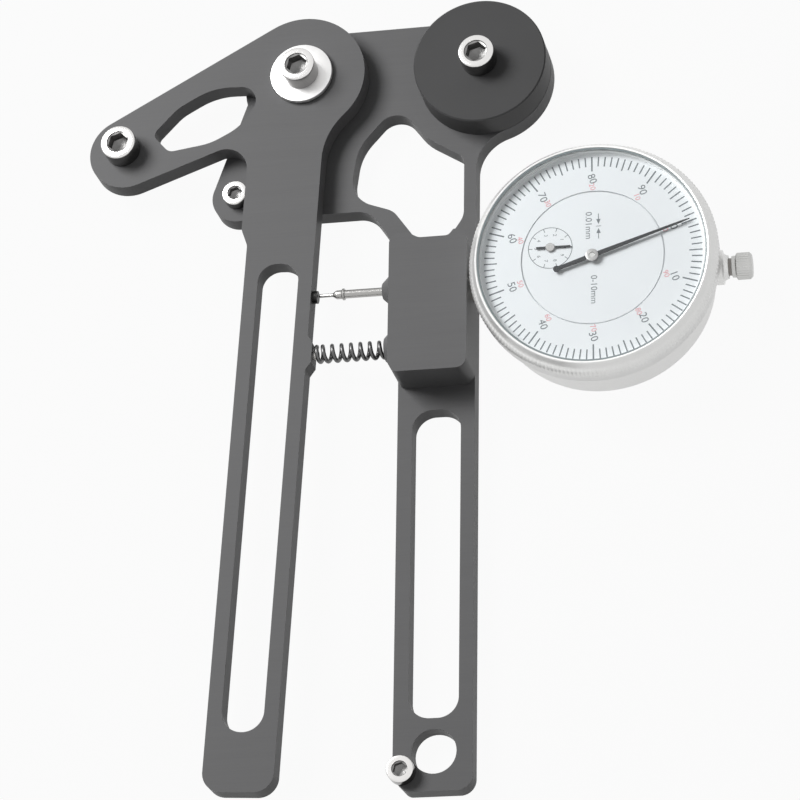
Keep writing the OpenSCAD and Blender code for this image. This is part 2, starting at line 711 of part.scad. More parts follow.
// Forked rail that keeps the spindle from turning
module guide_rail() {
    travel = 9;
    wall = 1.2;
    gap = 1.5 + 4 * fit;
    x0 = guide_x - 1.5;
    y0 = -gauge_y - spindle_d / 2 - 3.6;
    color([0.7, 0.62, 0.4]) difference() {
        translate([x0, y0, case_web_z + 1.2]) cube([travel + 3 + wall, 2.4, axis_z - case_web_z + 1.4]);
        translate([x0 - cut, y0 - cut, axis_z - gap / 2]) cube([travel + 3 + cut, 2.4 + 2 * cut, gap]);
    }
}

// --- Movement -----------------------------------------------------------------------------

module movement_plate(z, bores) {
    difference() {
        post(2 * movement_r, z, movement_t, hub);
        for (b = bores) post(b.z + 2 * fit, z - cut, movement_t + 2 * cut, [b.x, b.y]);
    }
}

module lower_plate() {
    color([0.78, 0.66, 0.36]) movement_plate(lower_plate_z, [[hub.x, hub.y, arbor_d],
        [drive_at.x, drive_at.y, arbor_d], [take_up_at.x, take_up_at.y, arbor_d]]);
}

module upper_plate() {
    color([0.78, 0.66, 0.36]) movement_plate(upper_plate_z, [[hub.x, hub.y, arbor_d],
        [drive_at.x, drive_at.y, arbor_d], [take_up_at.x, take_up_at.y, arbor_d]]);
}

module movement_pillars() {
    dial_low = face_z - dial_t;
    color([0.75, 0.75, 0.74]) for (a = pillar_dirs) rotate_about_hub(a) {
        post(3, case_web_z + 1.2, lower_plate_z - case_web_z - 1.2, [pillar_reach, 0]);
        post(3, lower_plate_z + movement_t, upper_plate_z - lower_plate_z - movement_t, [pillar_reach, 0]);
        post(2.4, upper_plate_z + movement_t, dial_low - upper_plate_z - movement_t,
            [inner_dial_r - 2.2, 0]);
    }
}

module centre_arbor() {
    color([0.7, 0.7, 0.72]) {
        post(arbor_d, lower_plate_z, main_z + arbor_up - lower_plate_z, hub);
        post(2 * centre_pinion_r, wheel_z - 0.4, 2, hub);
    }
}

module drive_arbor() {
    color([0.7, 0.7, 0.72]) {
        post(arbor_d, axis_z - 1.6, small_z + small_t - axis_z + 1.6, drive_at);
        difference() {
            post(2 * pinion_r, axis_z - 1.2, 2.6, drive_at);
            for (i = [0:15]) translate([drive_at.x, drive_at.y, axis_z - 2]) rotate([0, 0, 22.5 * i])
                translate([pinion_r - 0.25, -0.12, 0]) cube([1, 0.24, 5]);
        }
    }
}

// Light wheel with round openings in its web
module wheel(at) {
    web_t = 0.8;
    difference() {
        post(2 * wheel_r, wheel_z, web_t, at);
        post(arbor_d + 2 * seat, wheel_z - cut, web_t + 2 * cut, at);
        for (a = [0:72:288]) translate([at.x, at.y, 0]) rotate([0, 0, a])
            post(spoke_hole_d, wheel_z - cut, web_t + 2 * cut, [wheel_r * 0.58, 0]);
    }
}

module drive_wheel() {
    color([0.8, 0.68, 0.36]) wheel(drive_at);
}

module take_up_wheel() {
    color([0.8, 0.68, 0.36]) {
        wheel(take_up_at);
        post(arbor_d, lower_plate_z, upper_plate_z + movement_t - lower_plate_z, take_up_at);
    }
}

// Flat spiral that keeps the wheels on one side of their play
module hairspring() {
    turns = 4;
    r0 = arbor_d / 2 + 0.5;
    pitch = 1;
    blade = 0.18;
    steps = 18;
    z = wheel_z + 1.2;
    stud_d = 1;
    color([0.3, 0.35, 0.5]) {
        translate([take_up_at.x, take_up_at.y, z]) linear_extrude(height = 0.6) polygon([
            for (i = [0:turns * steps]) let(a = 360 * i / steps)
                (r0 + pitch * i / steps) * [cos(a), sin(a)],
            for (i = [turns * steps:-1:0]) let(a = 360 * i / steps)
                (r0 + pitch * i / steps - blade) * [cos(a), sin(a)]]);
        post(stud_d, z, upper_plate_z - z, take_up_at + [r0 + pitch * turns - blade / 2, 0]);
    }
}

// --- Dial, needles and bezel --------------------------------------------------------------

module inner_dial() {
    color([0.93, 0.95, 0.96]) difference() {
        post(2 * inner_dial_r, face_z - dial_t, dial_t - 0.05, hub);
        post(arbor_d + 0.6, face_z - 2, 4, hub);
        post(arbor_d + 0.6, face_z - 2, 4, drive_at);
    }
}

module dial_ring() {
    color([0.93, 0.95, 0.96]) ring(2 * (rim_in - seat), 2 * (inner_dial_r + 0.3), face_z - dial_t,
        dial_t, hub);
}

module needle(at, z, angle, reach, tail, w, tip_w, t) {
    translate([at.x, at.y, z]) rotate([0, 0, angle]) linear_extrude(height = t)
        polygon([[-tail, -w / 2], [0, -w / 2], [reach, -tip_w / 2], [reach, tip_w / 2],
            [0, w / 2], [-tail, w / 2]]);
}

module main_needle() {
    color([0.1, 0.1, 0.1]) difference() {
        union() {
            needle(hub, main_z, needle_angle, needle_reach, needle_tail, 0.9, 0.35, 0.3);
            post(needle_hub_d - 0.4, main_z, 0.3, hub);
            post(1.5, main_z, 0.3, hub - needle_tail * [cos(needle_angle), sin(needle_angle)]);
        }
        post(arbor_d + 2 * seat, main_z - cut, 3, hub);
    }
}

module needle_hub() {
    color([0.62, 0.60, 0.58]) difference() {
        union() {
            post(2.2, main_z - 0.55, 0.55, hub);
            post(needle_hub_d, main_z + 0.3, 0.35, hub);
        }
        post(arbor_d + 2 * seat, main_z - 2, 2 + arbor_up + seat, hub);
    }
}

module revolution_needle() {
    color([0.12, 0.12, 0.12]) difference() {
        union() {
            needle(drive_at, small_z, -1, 4.7, 3.2, 0.6, 0.35, small_t);
            post(2.2, small_z, small_t + 0.16, drive_at);
        }
        post(arbor_d + 2 * seat, small_z - cut, cut + small_t, drive_at);
    }
}

module bezel() {
    edge = 0.4;             // plain bands above and below the knurls
    knurl_h = 0.25;
    core_r = bezel_r - knurl_h - 0.1;
    skirt_top = face_z - edge;
    color([0.88, 0.88, 0.87]) translate([hub.x, hub.y, 0]) difference() {
        union() {
            translate([0, 0, skirt_low + edge]) linear_extrude(height = skirt_top - skirt_low - 2 * edge)
                polygon([for (i = [0:2 * knurls - 1]) let(a = 180 * i / knurls)
                    (bezel_r - knurl_h * (i % 2)) * [cos(a), sin(a)]]);
            rotate_extrude($fn = 120) polygon([[skirt_in - cut, skirt_low], [core_r, skirt_low],
                [core_r, skirt_top], [rim_in + 1.5, face_z + 1], [rim_in + 0.9, rim_top],
                [skirt_in - cut, rim_top]]);
        }
        translate([0, 0, face_z - dial_t]) cylinder(h = rim_top - lip_t - face_z + dial_t, r = rim_in,
            $fn = 120);
        translate([0, 0, skirt_low - cut]) cylinder(h = skirt_h + cut, r = skirt_in, $fn = 120);
        translate([0, 0, face_z]) cylinder(h = rim_h + cut, r = rim_in - lip_w, $fn = 120);
    }
}

module retaining_ring() {
    wall = 0.7;
    color([0.86, 0.87, 0.87])
        ring(2 * (rim_in - seat), 2 * (rim_in - wall), face_z, crystal_z - face_z, hub);
}

module crystal() {
    color([0.9, 0.95, 1, 0.4]) post(2 * (rim_in - seat), crystal_z, crystal_t, hub);
}

rear_frame();
front_arm();
pivot_bush();
thrust_washer();
pivot_washer();
pivot_screw();
nose_screw();
boss_spacer();
boss_screw();
opening_stop_screw();
closing_stop_screw();
contact_pad();
arm_spring_pin();
block_spring_pin();
return_spring();
gauge_case();
back_cover();
cover_screws();
stem();
stem_bushes();
stem_clamp_screw();
neck_bush();
spindle();
contact_point();
lifting_knob();
guide_pin();
guide_rail();
lower_plate();
upper_plate();
movement_pillars();
centre_arbor();
drive_arbor();
drive_wheel();
take_up_wheel();
hairspring();
inner_dial();
dial_ring();
main_needle();
needle_hub();
revolution_needle();
bezel();
retaining_ring();
crystal();
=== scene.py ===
"""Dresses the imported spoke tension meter: finishes, fine forms, the dial's print, lamps and camera.

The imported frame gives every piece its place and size. A value whose name ends in _mm is in
millimetres, and so are a turned piece's rings and a printed outline. MM turns them into Blender's
metres. The frame's origin is on the arms' pivot axis, in the rear frame's back face, with the
handles toward -Y and the dial facing +Z.
"""

import logging
import math
from collections.abc import Iterable, Sequence
from dataclasses import dataclass, field
from enum import Enum
from functools import cache

import bmesh
import bpy
from mathutils import Matrix, Vector


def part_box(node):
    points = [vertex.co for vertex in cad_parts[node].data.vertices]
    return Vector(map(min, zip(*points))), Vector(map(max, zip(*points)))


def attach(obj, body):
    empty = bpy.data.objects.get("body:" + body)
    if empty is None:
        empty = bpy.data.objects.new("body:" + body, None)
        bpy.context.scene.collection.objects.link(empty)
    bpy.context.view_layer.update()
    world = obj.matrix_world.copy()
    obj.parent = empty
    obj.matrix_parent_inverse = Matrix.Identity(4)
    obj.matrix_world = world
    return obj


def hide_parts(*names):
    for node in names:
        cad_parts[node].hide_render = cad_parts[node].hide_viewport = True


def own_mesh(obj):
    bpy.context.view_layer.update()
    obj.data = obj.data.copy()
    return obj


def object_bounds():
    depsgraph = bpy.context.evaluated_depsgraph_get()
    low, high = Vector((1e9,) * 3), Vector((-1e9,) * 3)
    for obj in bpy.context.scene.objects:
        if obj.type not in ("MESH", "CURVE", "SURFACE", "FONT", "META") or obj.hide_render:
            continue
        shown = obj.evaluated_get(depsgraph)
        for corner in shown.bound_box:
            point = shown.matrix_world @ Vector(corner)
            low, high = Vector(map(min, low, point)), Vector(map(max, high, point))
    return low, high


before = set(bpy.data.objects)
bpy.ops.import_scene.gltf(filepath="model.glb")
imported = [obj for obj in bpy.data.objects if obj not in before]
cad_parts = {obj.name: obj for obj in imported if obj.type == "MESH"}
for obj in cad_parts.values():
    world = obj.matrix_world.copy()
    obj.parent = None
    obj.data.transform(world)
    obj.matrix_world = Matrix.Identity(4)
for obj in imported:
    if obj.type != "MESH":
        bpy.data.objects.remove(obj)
CAD_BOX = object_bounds()

MM = 0.001
TURN = 2 * math.pi
SHARP_EDGE = math.radians(32)
WELD_M = 1e-7
FIGURE_STEPS = 3
WHITE = (1.0, 1.0, 1.0, 1.0)

Colour = tuple[float, float, float]
Triple = tuple[float, float, float]
Point = tuple[float, float]
Outline = tuple[Point, ...]

log = logging.getLogger("spoke_meter")


# --- Shader helpers ---------------------------------------------------------------------------


class Value:
    """One output of a node tree. Python's operators on it add Math nodes."""

    def __init__(self, tree: "Tree", socket: bpy.types.NodeSocket) -> None:
        """Keeps the tree and the socket."""
        self.tree = tree
        self.socket = socket

    def _math(self, operation: str, first: "Value | float", second: "Value | float") -> "Value":
        """Adds a Math node.

        Args:
            operation: Name of the Math node's operation.
            first: First term.
            second: Second term.

        Returns:
            The node's output.
        """
        return self.tree.node("ShaderNodeMath", {"operation": operation}, {0: first, 1: second})

    def __add__(self, other: "Value | float") -> "Value":
        """Sum."""
        return self._math("ADD", self, other)

    def __radd__(self, other: float) -> "Value":
        """Reflected sum."""
        return self._math("ADD", other, self)

    def __sub__(self, other: "Value | float") -> "Value":
        """Difference."""
        return self._math("SUBTRACT", self, other)

    def __rsub__(self, other: float) -> "Value":
        """Reflected difference."""
        return self._math("SUBTRACT", other, self)

    def __mul__(self, other: "Value | float") -> "Value":
        """Product."""
        return self._math("MULTIPLY", self, other)

    def __rmul__(self, other: float) -> "Value":
        """Reflected product."""
        return self._math("MULTIPLY", other, self)

    def above(self, edge: float) -> "Value":
        """1 where the value is over the edge, else 0."""
        return self._math("GREATER_THAN", self, edge)

    def sine(self) -> "Value":
        """Sine of the value in radians."""
        return self._math("SINE", self, 0.0)

    def held(self) -> "Value":
        """The value kept between 0 and 1."""
        return self._math("MINIMUM", self._math("MAXIMUM", self, 0.0), 1.0)


class Tree:
    """The node tree of one material or world."""

    def __init__(self, owner: bpy.types.Material | bpy.types.World) -> None:
        """Empties the owner's tree and keeps hold of it.

        Args:
            owner: The material or the world.
        """
        owner.use_nodes = True
        self.nodes = owner.node_tree.nodes
        self.links = owner.node_tree.links
        self.nodes.clear()

    def node(
        self,
        kind: str,
        settings: dict[str, object] | None = None,
        sockets: dict[int | str, object] | None = None,
        output: int | str = 0,
    ) -> Value:
        """Adds any node.

        Args:
            kind: The node's type.
            settings: Its own settings, such as a Math node's operation. They are set first.
            sockets: Values or links of its inputs, by index or name.
            output: The output to hand back.

        Returns:
            That output.
        """
        made = self.nodes.new(kind)
        for name, setting in (settings or {}).items():
            setattr(made, name, setting)
        for name, given in (sockets or {}).items():
            if isinstance(given, Value):
                self.links.new(given.socket, made.inputs[name])
            else:
                made.inputs[name].default_value = given
        return Value(self, made.outputs[output])

    def place(self) -> Value:
        """Object coordinates, which on a CAD node are the frame's own."""
        return self.node("ShaderNodeTexCoord", output="Object")

    def upward(self) -> Value:
        """How far a face looks up: 1 on top, 0 on an upright wall."""
        normal = self.node("ShaderNodeTexCoord", output="Normal")
        return self.node("ShaderNodeSeparateXYZ", {}, {0: normal}, "Z")

    def noise(self, scale: float, stretch: Triple = (1.0, 1.0, 1.0), detail: float = 3.0) -> Value:
        """Smooth noise.

        Args:
            scale: Features for each metre.
            stretch: Factors on that scale along X, Y and Z.
            detail: Octaves.

        Returns:
            The noise, about 0.5.
        """
        vector = self.node(
            "ShaderNodeMapping",
            {},
            {"Vector": self.place(), "Scale": tuple(scale * share for share in stretch)},
        )
        return self.node(
            "ShaderNodeTexNoise", {}, {"Vector": vector, "Scale": 1.0, "Detail": detail}, "Fac"
        )

    def mix(self, share: Value | float, low: Colour, high: Colour) -> Value:
        """A colour between two.

        Args:
            share: 0 for low, 1 for high.
            low: First colour.
            high: Second colour.

        Returns:
            The mixed colour.
        """
        return self.node(
            "ShaderNodeMix", {"data_type": "RGBA"}, {0: share, 6: (*low, 1.0), 7: (*high, 1.0)}, 2
        )

    def shade(self, share: Value, colour: Colour, darkest: float, palest: float) -> Value:
        """A colour that varies about its own value.

        Args:
            share: 0 for the darkest, 1 for the palest.
            colour: The colour.
            darkest: Factor on the colour at 0.
            palest: Factor on the colour at 1, which goes no higher than white.

        Returns:
            The mixed colour.
        """
        dark, pale = (
            tuple(min(1.0, part * factor) for part in colour) for factor in (darkest, palest)
        )
        return self.mix(share, dark, pale)

    def bump(self, height: Value, depth_mm: float, strength: float = 0.5) -> Value:
        """A normal from a height of 0 to 1.

        Args:
            height: The height.
            depth_mm: What a height of 1 stands for.
            strength: Share of it that shows.

        Returns:
            The normal.
        """
        return self.node(
            "ShaderNodeBump",
            {},
            {"Strength": strength, "Distance": depth_mm * MM, "Height": height},
        )

    def radius_about(self, centre_mm: Point) -> Value:
        """Distance in millimetres from an upright axis.

        Args:
            centre_mm: Where the axis stands.

        Returns:
            The distance.
        """
        flat = self.node(
            "ShaderNodeVectorMath",
            {"operation": "MULTIPLY"},
            {
                0: self.node(
                    "ShaderNodeVectorMath",
                    {"operation": "SUBTRACT"},
                    {0: self.place(), 1: (centre_mm[0] * MM, centre_mm[1] * MM, 0.0)},
                ),
                1: (1 / MM, 1 / MM, 0.0),
            },
        )
        return self.node("ShaderNodeVectorMath", {"operation": "LENGTH"}, {0: flat}, "Value")

    def seen_straight(self) -> Value:
        """Tells apart the rays that show a face from those that light matt faces.

        Returns:
            1 for camera, gloss and glass rays, else 0.
        """
        camera, gloss, clear = (
            self.node("ShaderNodeLightPath", output=f"Is {ray} Ray")
            for ray in ("Camera", "Glossy", "Transmission")
        )
        return (camera + gloss + clear).held()

    def surface(self, **sockets: object) -> Value:
        """A Principled shader, with underscores for the spaces in its sockets' names."""
        named = {name.replace("_", " "): given for name, given in sockets.items()}
        return self.node("ShaderNodeBsdfPrincipled", {}, named, "BSDF")

    def finish(self, shader: Value, kind: str = "ShaderNodeOutputMaterial") -> None:
        """Sends a shader to the tree's output."""
        out = self.nodes.new(kind)
        self.links.new(shader.socket, out.inputs["Surface"])


# --- Finishes ---------------------------------------------------------------------------------


@dataclass(frozen=True)
class Finish:
    """What every finish has: a name and a way to make its material.

    In each of them a scale is a noise's number of features in a metre.
    """

    name: str

    @cache
    def material(self) -> bpy.types.Material:
        """Makes the finish's material, once.

        Returns:
            The material.
        """
        made = bpy.data.materials.new(self.name)
        tree = Tree(made)
        tree.finish(self.paint(tree))
        return made

    def paint(self, tree: Tree) -> Value:
        """Builds the shader.

        Args:
            tree: The material's tree.

        Returns:
            The shader's output.
        """
        raise NotImplementedError


@dataclass(frozen=True)
class BrushedAnodising(Finish):
    """Grey anodised plate with fine brushing, soft blotches and specks."""

    colour: Colour = (0.134, 0.134, 0.136)
    roughness: float = 0.46
    sheen: float = 0.14
    brushing: Triple = (0.03, 1.0, 0.35)
    line_scale: float = 2600.0
    broad_scale: float = 420.0
    blotch_scale: float = 38.0
    speck_scale: float = 5200.0
    relief_mm: float = 0.006

    def paint(self, tree: Tree) -> Value:
        """Builds brushed lines in colour, roughness and relief.

        Args:
            tree: The material's tree.

        Returns:
            The shader's output.
        """
        lines = tree.noise(self.line_scale, self.brushing, 2.0)
        broad = tree.noise(self.broad_scale, self.brushing, 2.0)
        blotch = tree.noise(self.blotch_scale)
        specks = tree.noise(self.speck_scale, detail=1.0)
        tone = (0.34 * lines + 0.2 * broad + 0.3 * blotch + 0.16 * specks).held()
        return tree.surface(
            Base_Color=tree.shade(tone, self.colour, 0.84, 1.16),
            Specular_IOR_Level=self.sheen,
            Roughness=(self.roughness + 0.16 * (lines - 0.5) + 0.1 * (blotch - 0.5)).held(),
            Normal=tree.bump(0.7 * lines + 0.3 * specks, self.relief_mm),
        )


@dataclass(frozen=True)
class TurnedAnodising(Finish):
    """Dark anodised face with fine turning marks round an upright axis."""

    centre_mm: Point
    colour: Colour = (0.066, 0.066, 0.067)
    roughness: float = 0.42
    sheen: float = 0.14
    pitch_mm: float = 0.16
    wander: float = 2.4
    wander_scale: float = 120.0
    blotch_scale: float = 46.0
    relief_mm: float = 0.004

    def paint(self, tree: Tree) -> Value:
        """Builds rings in relief, with a slow variation of colour.

        Args:
            tree: The material's tree.

        Returns:
            The shader's output.
        """
        rings = tree.radius_about(self.centre_mm) * (TURN / self.pitch_mm)
        groove = (rings + self.wander * tree.noise(self.wander_scale)).sine() * 0.5 + 0.5
        blotch = tree.noise(self.blotch_scale)
        tone = (0.75 * blotch + 0.15 * groove).held()
        return tree.surface(
            Base_Color=tree.shade(tone, self.colour, 0.86, 1.14),
            Specular_IOR_Level=self.sheen,
            Roughness=(self.roughness + 0.1 * (blotch - 0.5) + 0.06 * groove).held(),
            Normal=tree.bump(groove, self.relief_mm),
        )


@dataclass(frozen=True)
class Metal(Finish):
    """Bare or plated metal with fine scratches and a little uneven polish."""

    colour: Colour
    roughness: float
    unevenness: float = 0.1
    scratch_mm: float = 0.002
    metallic: float = 1.0
    smear_scale: float = 210.0
    scratch_scale: float = 3400.0

    def paint(self, tree: Tree) -> Value:
        """Builds noise in roughness, colour and relief.

        Args:
            tree: The material's tree.

        Returns:
            The shader's output.
        """
        smear = tree.noise(self.smear_scale)
        scratch = tree.noise(self.scratch_scale, detail=2.0)
        tone = (0.6 * smear + 0.4 * scratch).held()
        return tree.surface(
            Base_Color=tree.shade(tone, self.colour, 0.9, 1.06),
            Metallic=self.metallic,
            Roughness=(self.roughness + self.unevenness * (smear + 0.5 * scratch - 0.75)).held(),
            Normal=tree.bump(scratch, self.scratch_mm),
        )


@dataclass(frozen=True)
class BoredMetal(Metal):
    """Bright metal with painted shade in its bore and painted dark reflections on its upright walls.
    """

    centre_mm: Point = (0.0, 0.0)
    bore_mm: float = 2.5
    # How far the colour goes toward its darkest: painted shade in the bore, painted dark reflections
    # on walls.
    painted_bore_shade: float = 0.76
    painted_wall_reflection: float = 0.84
    bore_roughness: float = 0.25
    darkest: float = 0.05

    def paint(self, tree: Tree) -> Value:
        """Builds the metal's noise, with painted shade in the bore and painted dark reflections on
        walls.

        Args:
            tree: The material's tree.

        Returns:
            The shader's output.
        """
        smear = tree.noise(self.smear_scale)
        scratch = tree.noise(self.scratch_scale, detail=2.0)
        inside = 1.0 - tree.radius_about(self.centre_mm).above(self.bore_mm)
        wall = (1.0 - inside) * (1.0 - (1.6 * tree.upward() + 0.1)).held()
        # Painted shade in the bore and painted dark reflections on the upright walls, put into the
        # colour.
        painted_shade_and_reflection = inside * self.painted_bore_shade + wall * self.painted_wall_reflection
        tone = (painted_shade_and_reflection + 0.12 * (smear - 0.5) + 0.1 * (scratch - 0.5)).held()
        roughness = self.roughness + self.bore_roughness * inside + self.unevenness * (smear - 0.5)
        return tree.surface(
            Base_Color=tree.mix(tone, self.colour, (self.colour[0] * self.darkest,) * 3),
            Metallic=self.metallic,
            Roughness=roughness.held(),
            Normal=tree.bump(scratch, self.scratch_mm),
        )


@dataclass(frozen=True)
class Paint(Finish):
    """Satin paint or print with a faint orange peel."""

    colour: Colour
    roughness: float
    peel_mm: float = 0.002
    mottle_scale: float = 90.0
    peel_scale: float = 2400.0

    def paint(self, tree: Tree) -> Value:
        """Builds a mottled coat.

        Args:
            tree: The material's tree.

        Returns:
            The shader's output.
        """
        mottle = tree.noise(self.mottle_scale)
        peel = tree.noise(self.peel_scale, detail=1.0)
        return tree.surface(
            Base_Color=tree.shade(mottle, self.colour, 0.97, 1.02),
            Roughness=(self.roughness + 0.12 * (mottle - 0.5)).held(),
            Normal=tree.bump(peel, self.peel_mm, 0.4),
        )


@dataclass(frozen=True)
class ClearCover(Finish):
    """Thin clear crystal: see-through, with a gloss that grows toward the rim of sight."""

    tint: Colour = (0.985, 0.992, 0.996)
    gloss: float = 0.9
    roughness: float = 0.04
    refraction: float = 1.45
    gloss_share: float = 0.8

    def paint(self, tree: Tree) -> Value:
        """Builds see-through mixed with a sharp gloss, which the faces' backs don't have.

        Args:
            tree: The material's tree.

        Returns:
            The shader's output.
        """
        see_through = tree.node("ShaderNodeBsdfTransparent", {}, {"Color": (*self.tint, 1.0)})
        shine = tree.node(
            "ShaderNodeBsdfAnisotropic",
            {},
            {"Color": (*(self.gloss,) * 3, 1.0), "Roughness": self.roughness},
        )
        grazing = tree.node("ShaderNodeFresnel", {}, {"IOR": self.refraction})
        leaving = tree.node("ShaderNodeNewGeometry", output="Backfacing")
        share = grazing * self.gloss_share * (1.0 - leaving)
        return tree.node("ShaderNodeMixShader", {}, {0: share, 1: see_through, 2: shine})


PLATE = BrushedAnodising("plate anodising")
ROD_STEEL = Metal("contact rod steel", (0.4, 0.395, 0.385), roughness=0.24, unevenness=0.12)
WASHER = Metal("washer face", (0.7, 0.695, 0.69), roughness=0.42, unevenness=0.12)
PLATING = Metal("satin bezel plating", (0.93, 0.93, 0.92), roughness=0.34, metallic=0.6)
HUB_STEEL = Metal("needle hub steel", (0.42, 0.41, 0.4), 0.3, 0.14, scratch_mm=0.003)
STEEL = Metal("ground steel", (0.6, 0.59, 0.57), 0.26, 0.14, scratch_mm=0.003)
KNOB_STEEL = Metal("knurled knob steel", (0.55, 0.55, 0.54), 0.34, 0.16, scratch_mm=0.004)
WIRE = Metal("oiled spring wire", (0.13, 0.13, 0.13), 0.3, 0.16, scratch_mm=0.003)
OILED = Metal("oiled spindle steel", (0.2, 0.19, 0.18), roughness=0.32)
BLACKED = Metal("blacked steel", (0.03, 0.03, 0.03), roughness=0.4)
BRASS = Metal("lacquered brass", (0.66, 0.48, 0.2), roughness=0.28, unevenness=0.12)
DIAL_WHITE = Paint("dial paint", (0.955, 0.972, 0.98), roughness=0.4)
BLACK_INK = Paint("grey-black ink", (0.17, 0.19, 0.2), roughness=0.5)
RED_INK = Paint("red ink", (0.84, 0.38, 0.41), roughness=0.5)
SEAT_GREY = Paint("dial seat paint", (0.9, 0.91, 0.92), roughness=0.5)
# Paint of a dark ring round the crystal: painted shade for the gap under the bezel's lip.
GAP_SHADE_PAINT = Paint("crystal gap shade", (0.25, 0.29, 0.3), roughness=0.38)
NEEDLE_BLACK = Paint("needle paint", (0.018, 0.02, 0.022), roughness=0.35)
CRYSTAL = ClearCover("clear crystal")


# --- Mesh helpers -----------------------------------------------------------------------------


class Section(Enum):
    """Outline of a turned piece's ring."""

    ROUND = "round"
    HEXAGON = "hexagon"
    KNURL = "knurl"


@dataclass(frozen=True)
class Ring:
    """One ring of a turned piece: its radius, or half the width across a hexagon's flats."""

    radius_mm: float
    height_mm: float
    section: Section = Section.ROUND
    teeth: int = 0
    depth_mm: float = 0.0

    def reach(self, angle: float) -> float:
        """Distance of the ring from its axis.

        Args:
            angle: Direction in radians.

        Returns:
            The distance in millimetres.
        """
        if self.section is Section.HEXAGON:
            return self.radius_mm / math.cos(angle % (TURN / 6) - TURN / 12)
        if self.section is Section.KNURL:
            across = (angle * self.teeth / TURN) % 1.0
            return self.radius_mm - self.depth_mm * abs(2 * across - 1)
        return self.radius_mm

    def point(self, angle: float) -> Vector:
        """Its point in a direction in radians, in metres."""
        reach = self.reach(angle) * MM
        return Vector((reach * math.cos(angle), reach * math.sin(angle), self.height_mm * MM))


def profile(*points: Point, **cut: object) -> list[Ring]:
    """Rings from their radii and heights, all cut alike."""
    return [Ring(radius_mm, height_mm, **cut) for radius_mm, height_mm in points]


def along_x(x_mm: float, y_mm: float, z_mm: float) -> Matrix:
    """A place whose turning axis runs along +X from the point."""
    return Matrix.Translation(Vector((x_mm, y_mm, z_mm)) * MM) @ Matrix.Rotation(TURN / 4, 4, "Y")


def upright(x_mm: float, y_mm: float, z_mm: float = 0.0, turn: float = 0.0) -> Matrix:
    """A place whose turning axis is +Z, turned about it."""
    return Matrix.Translation(Vector((x_mm, y_mm, z_mm)) * MM) @ Matrix.Rotation(turn, 4, "Z")


def quarter_turn(steps: int = 6) -> list[float]:
    """Angles from nothing to a quarter turn, for a rounded edge."""
    return [step * TURN / (4 * steps) for step in range(steps + 1)]


def bar(start_mm: float, end_mm: float, width_mm: float) -> list[Point]:
    """The outline of a printed line along X."""
    half = width_mm / 2
    return [(start_mm, -half), (end_mm, -half), (end_mm, half), (start_mm, half)]


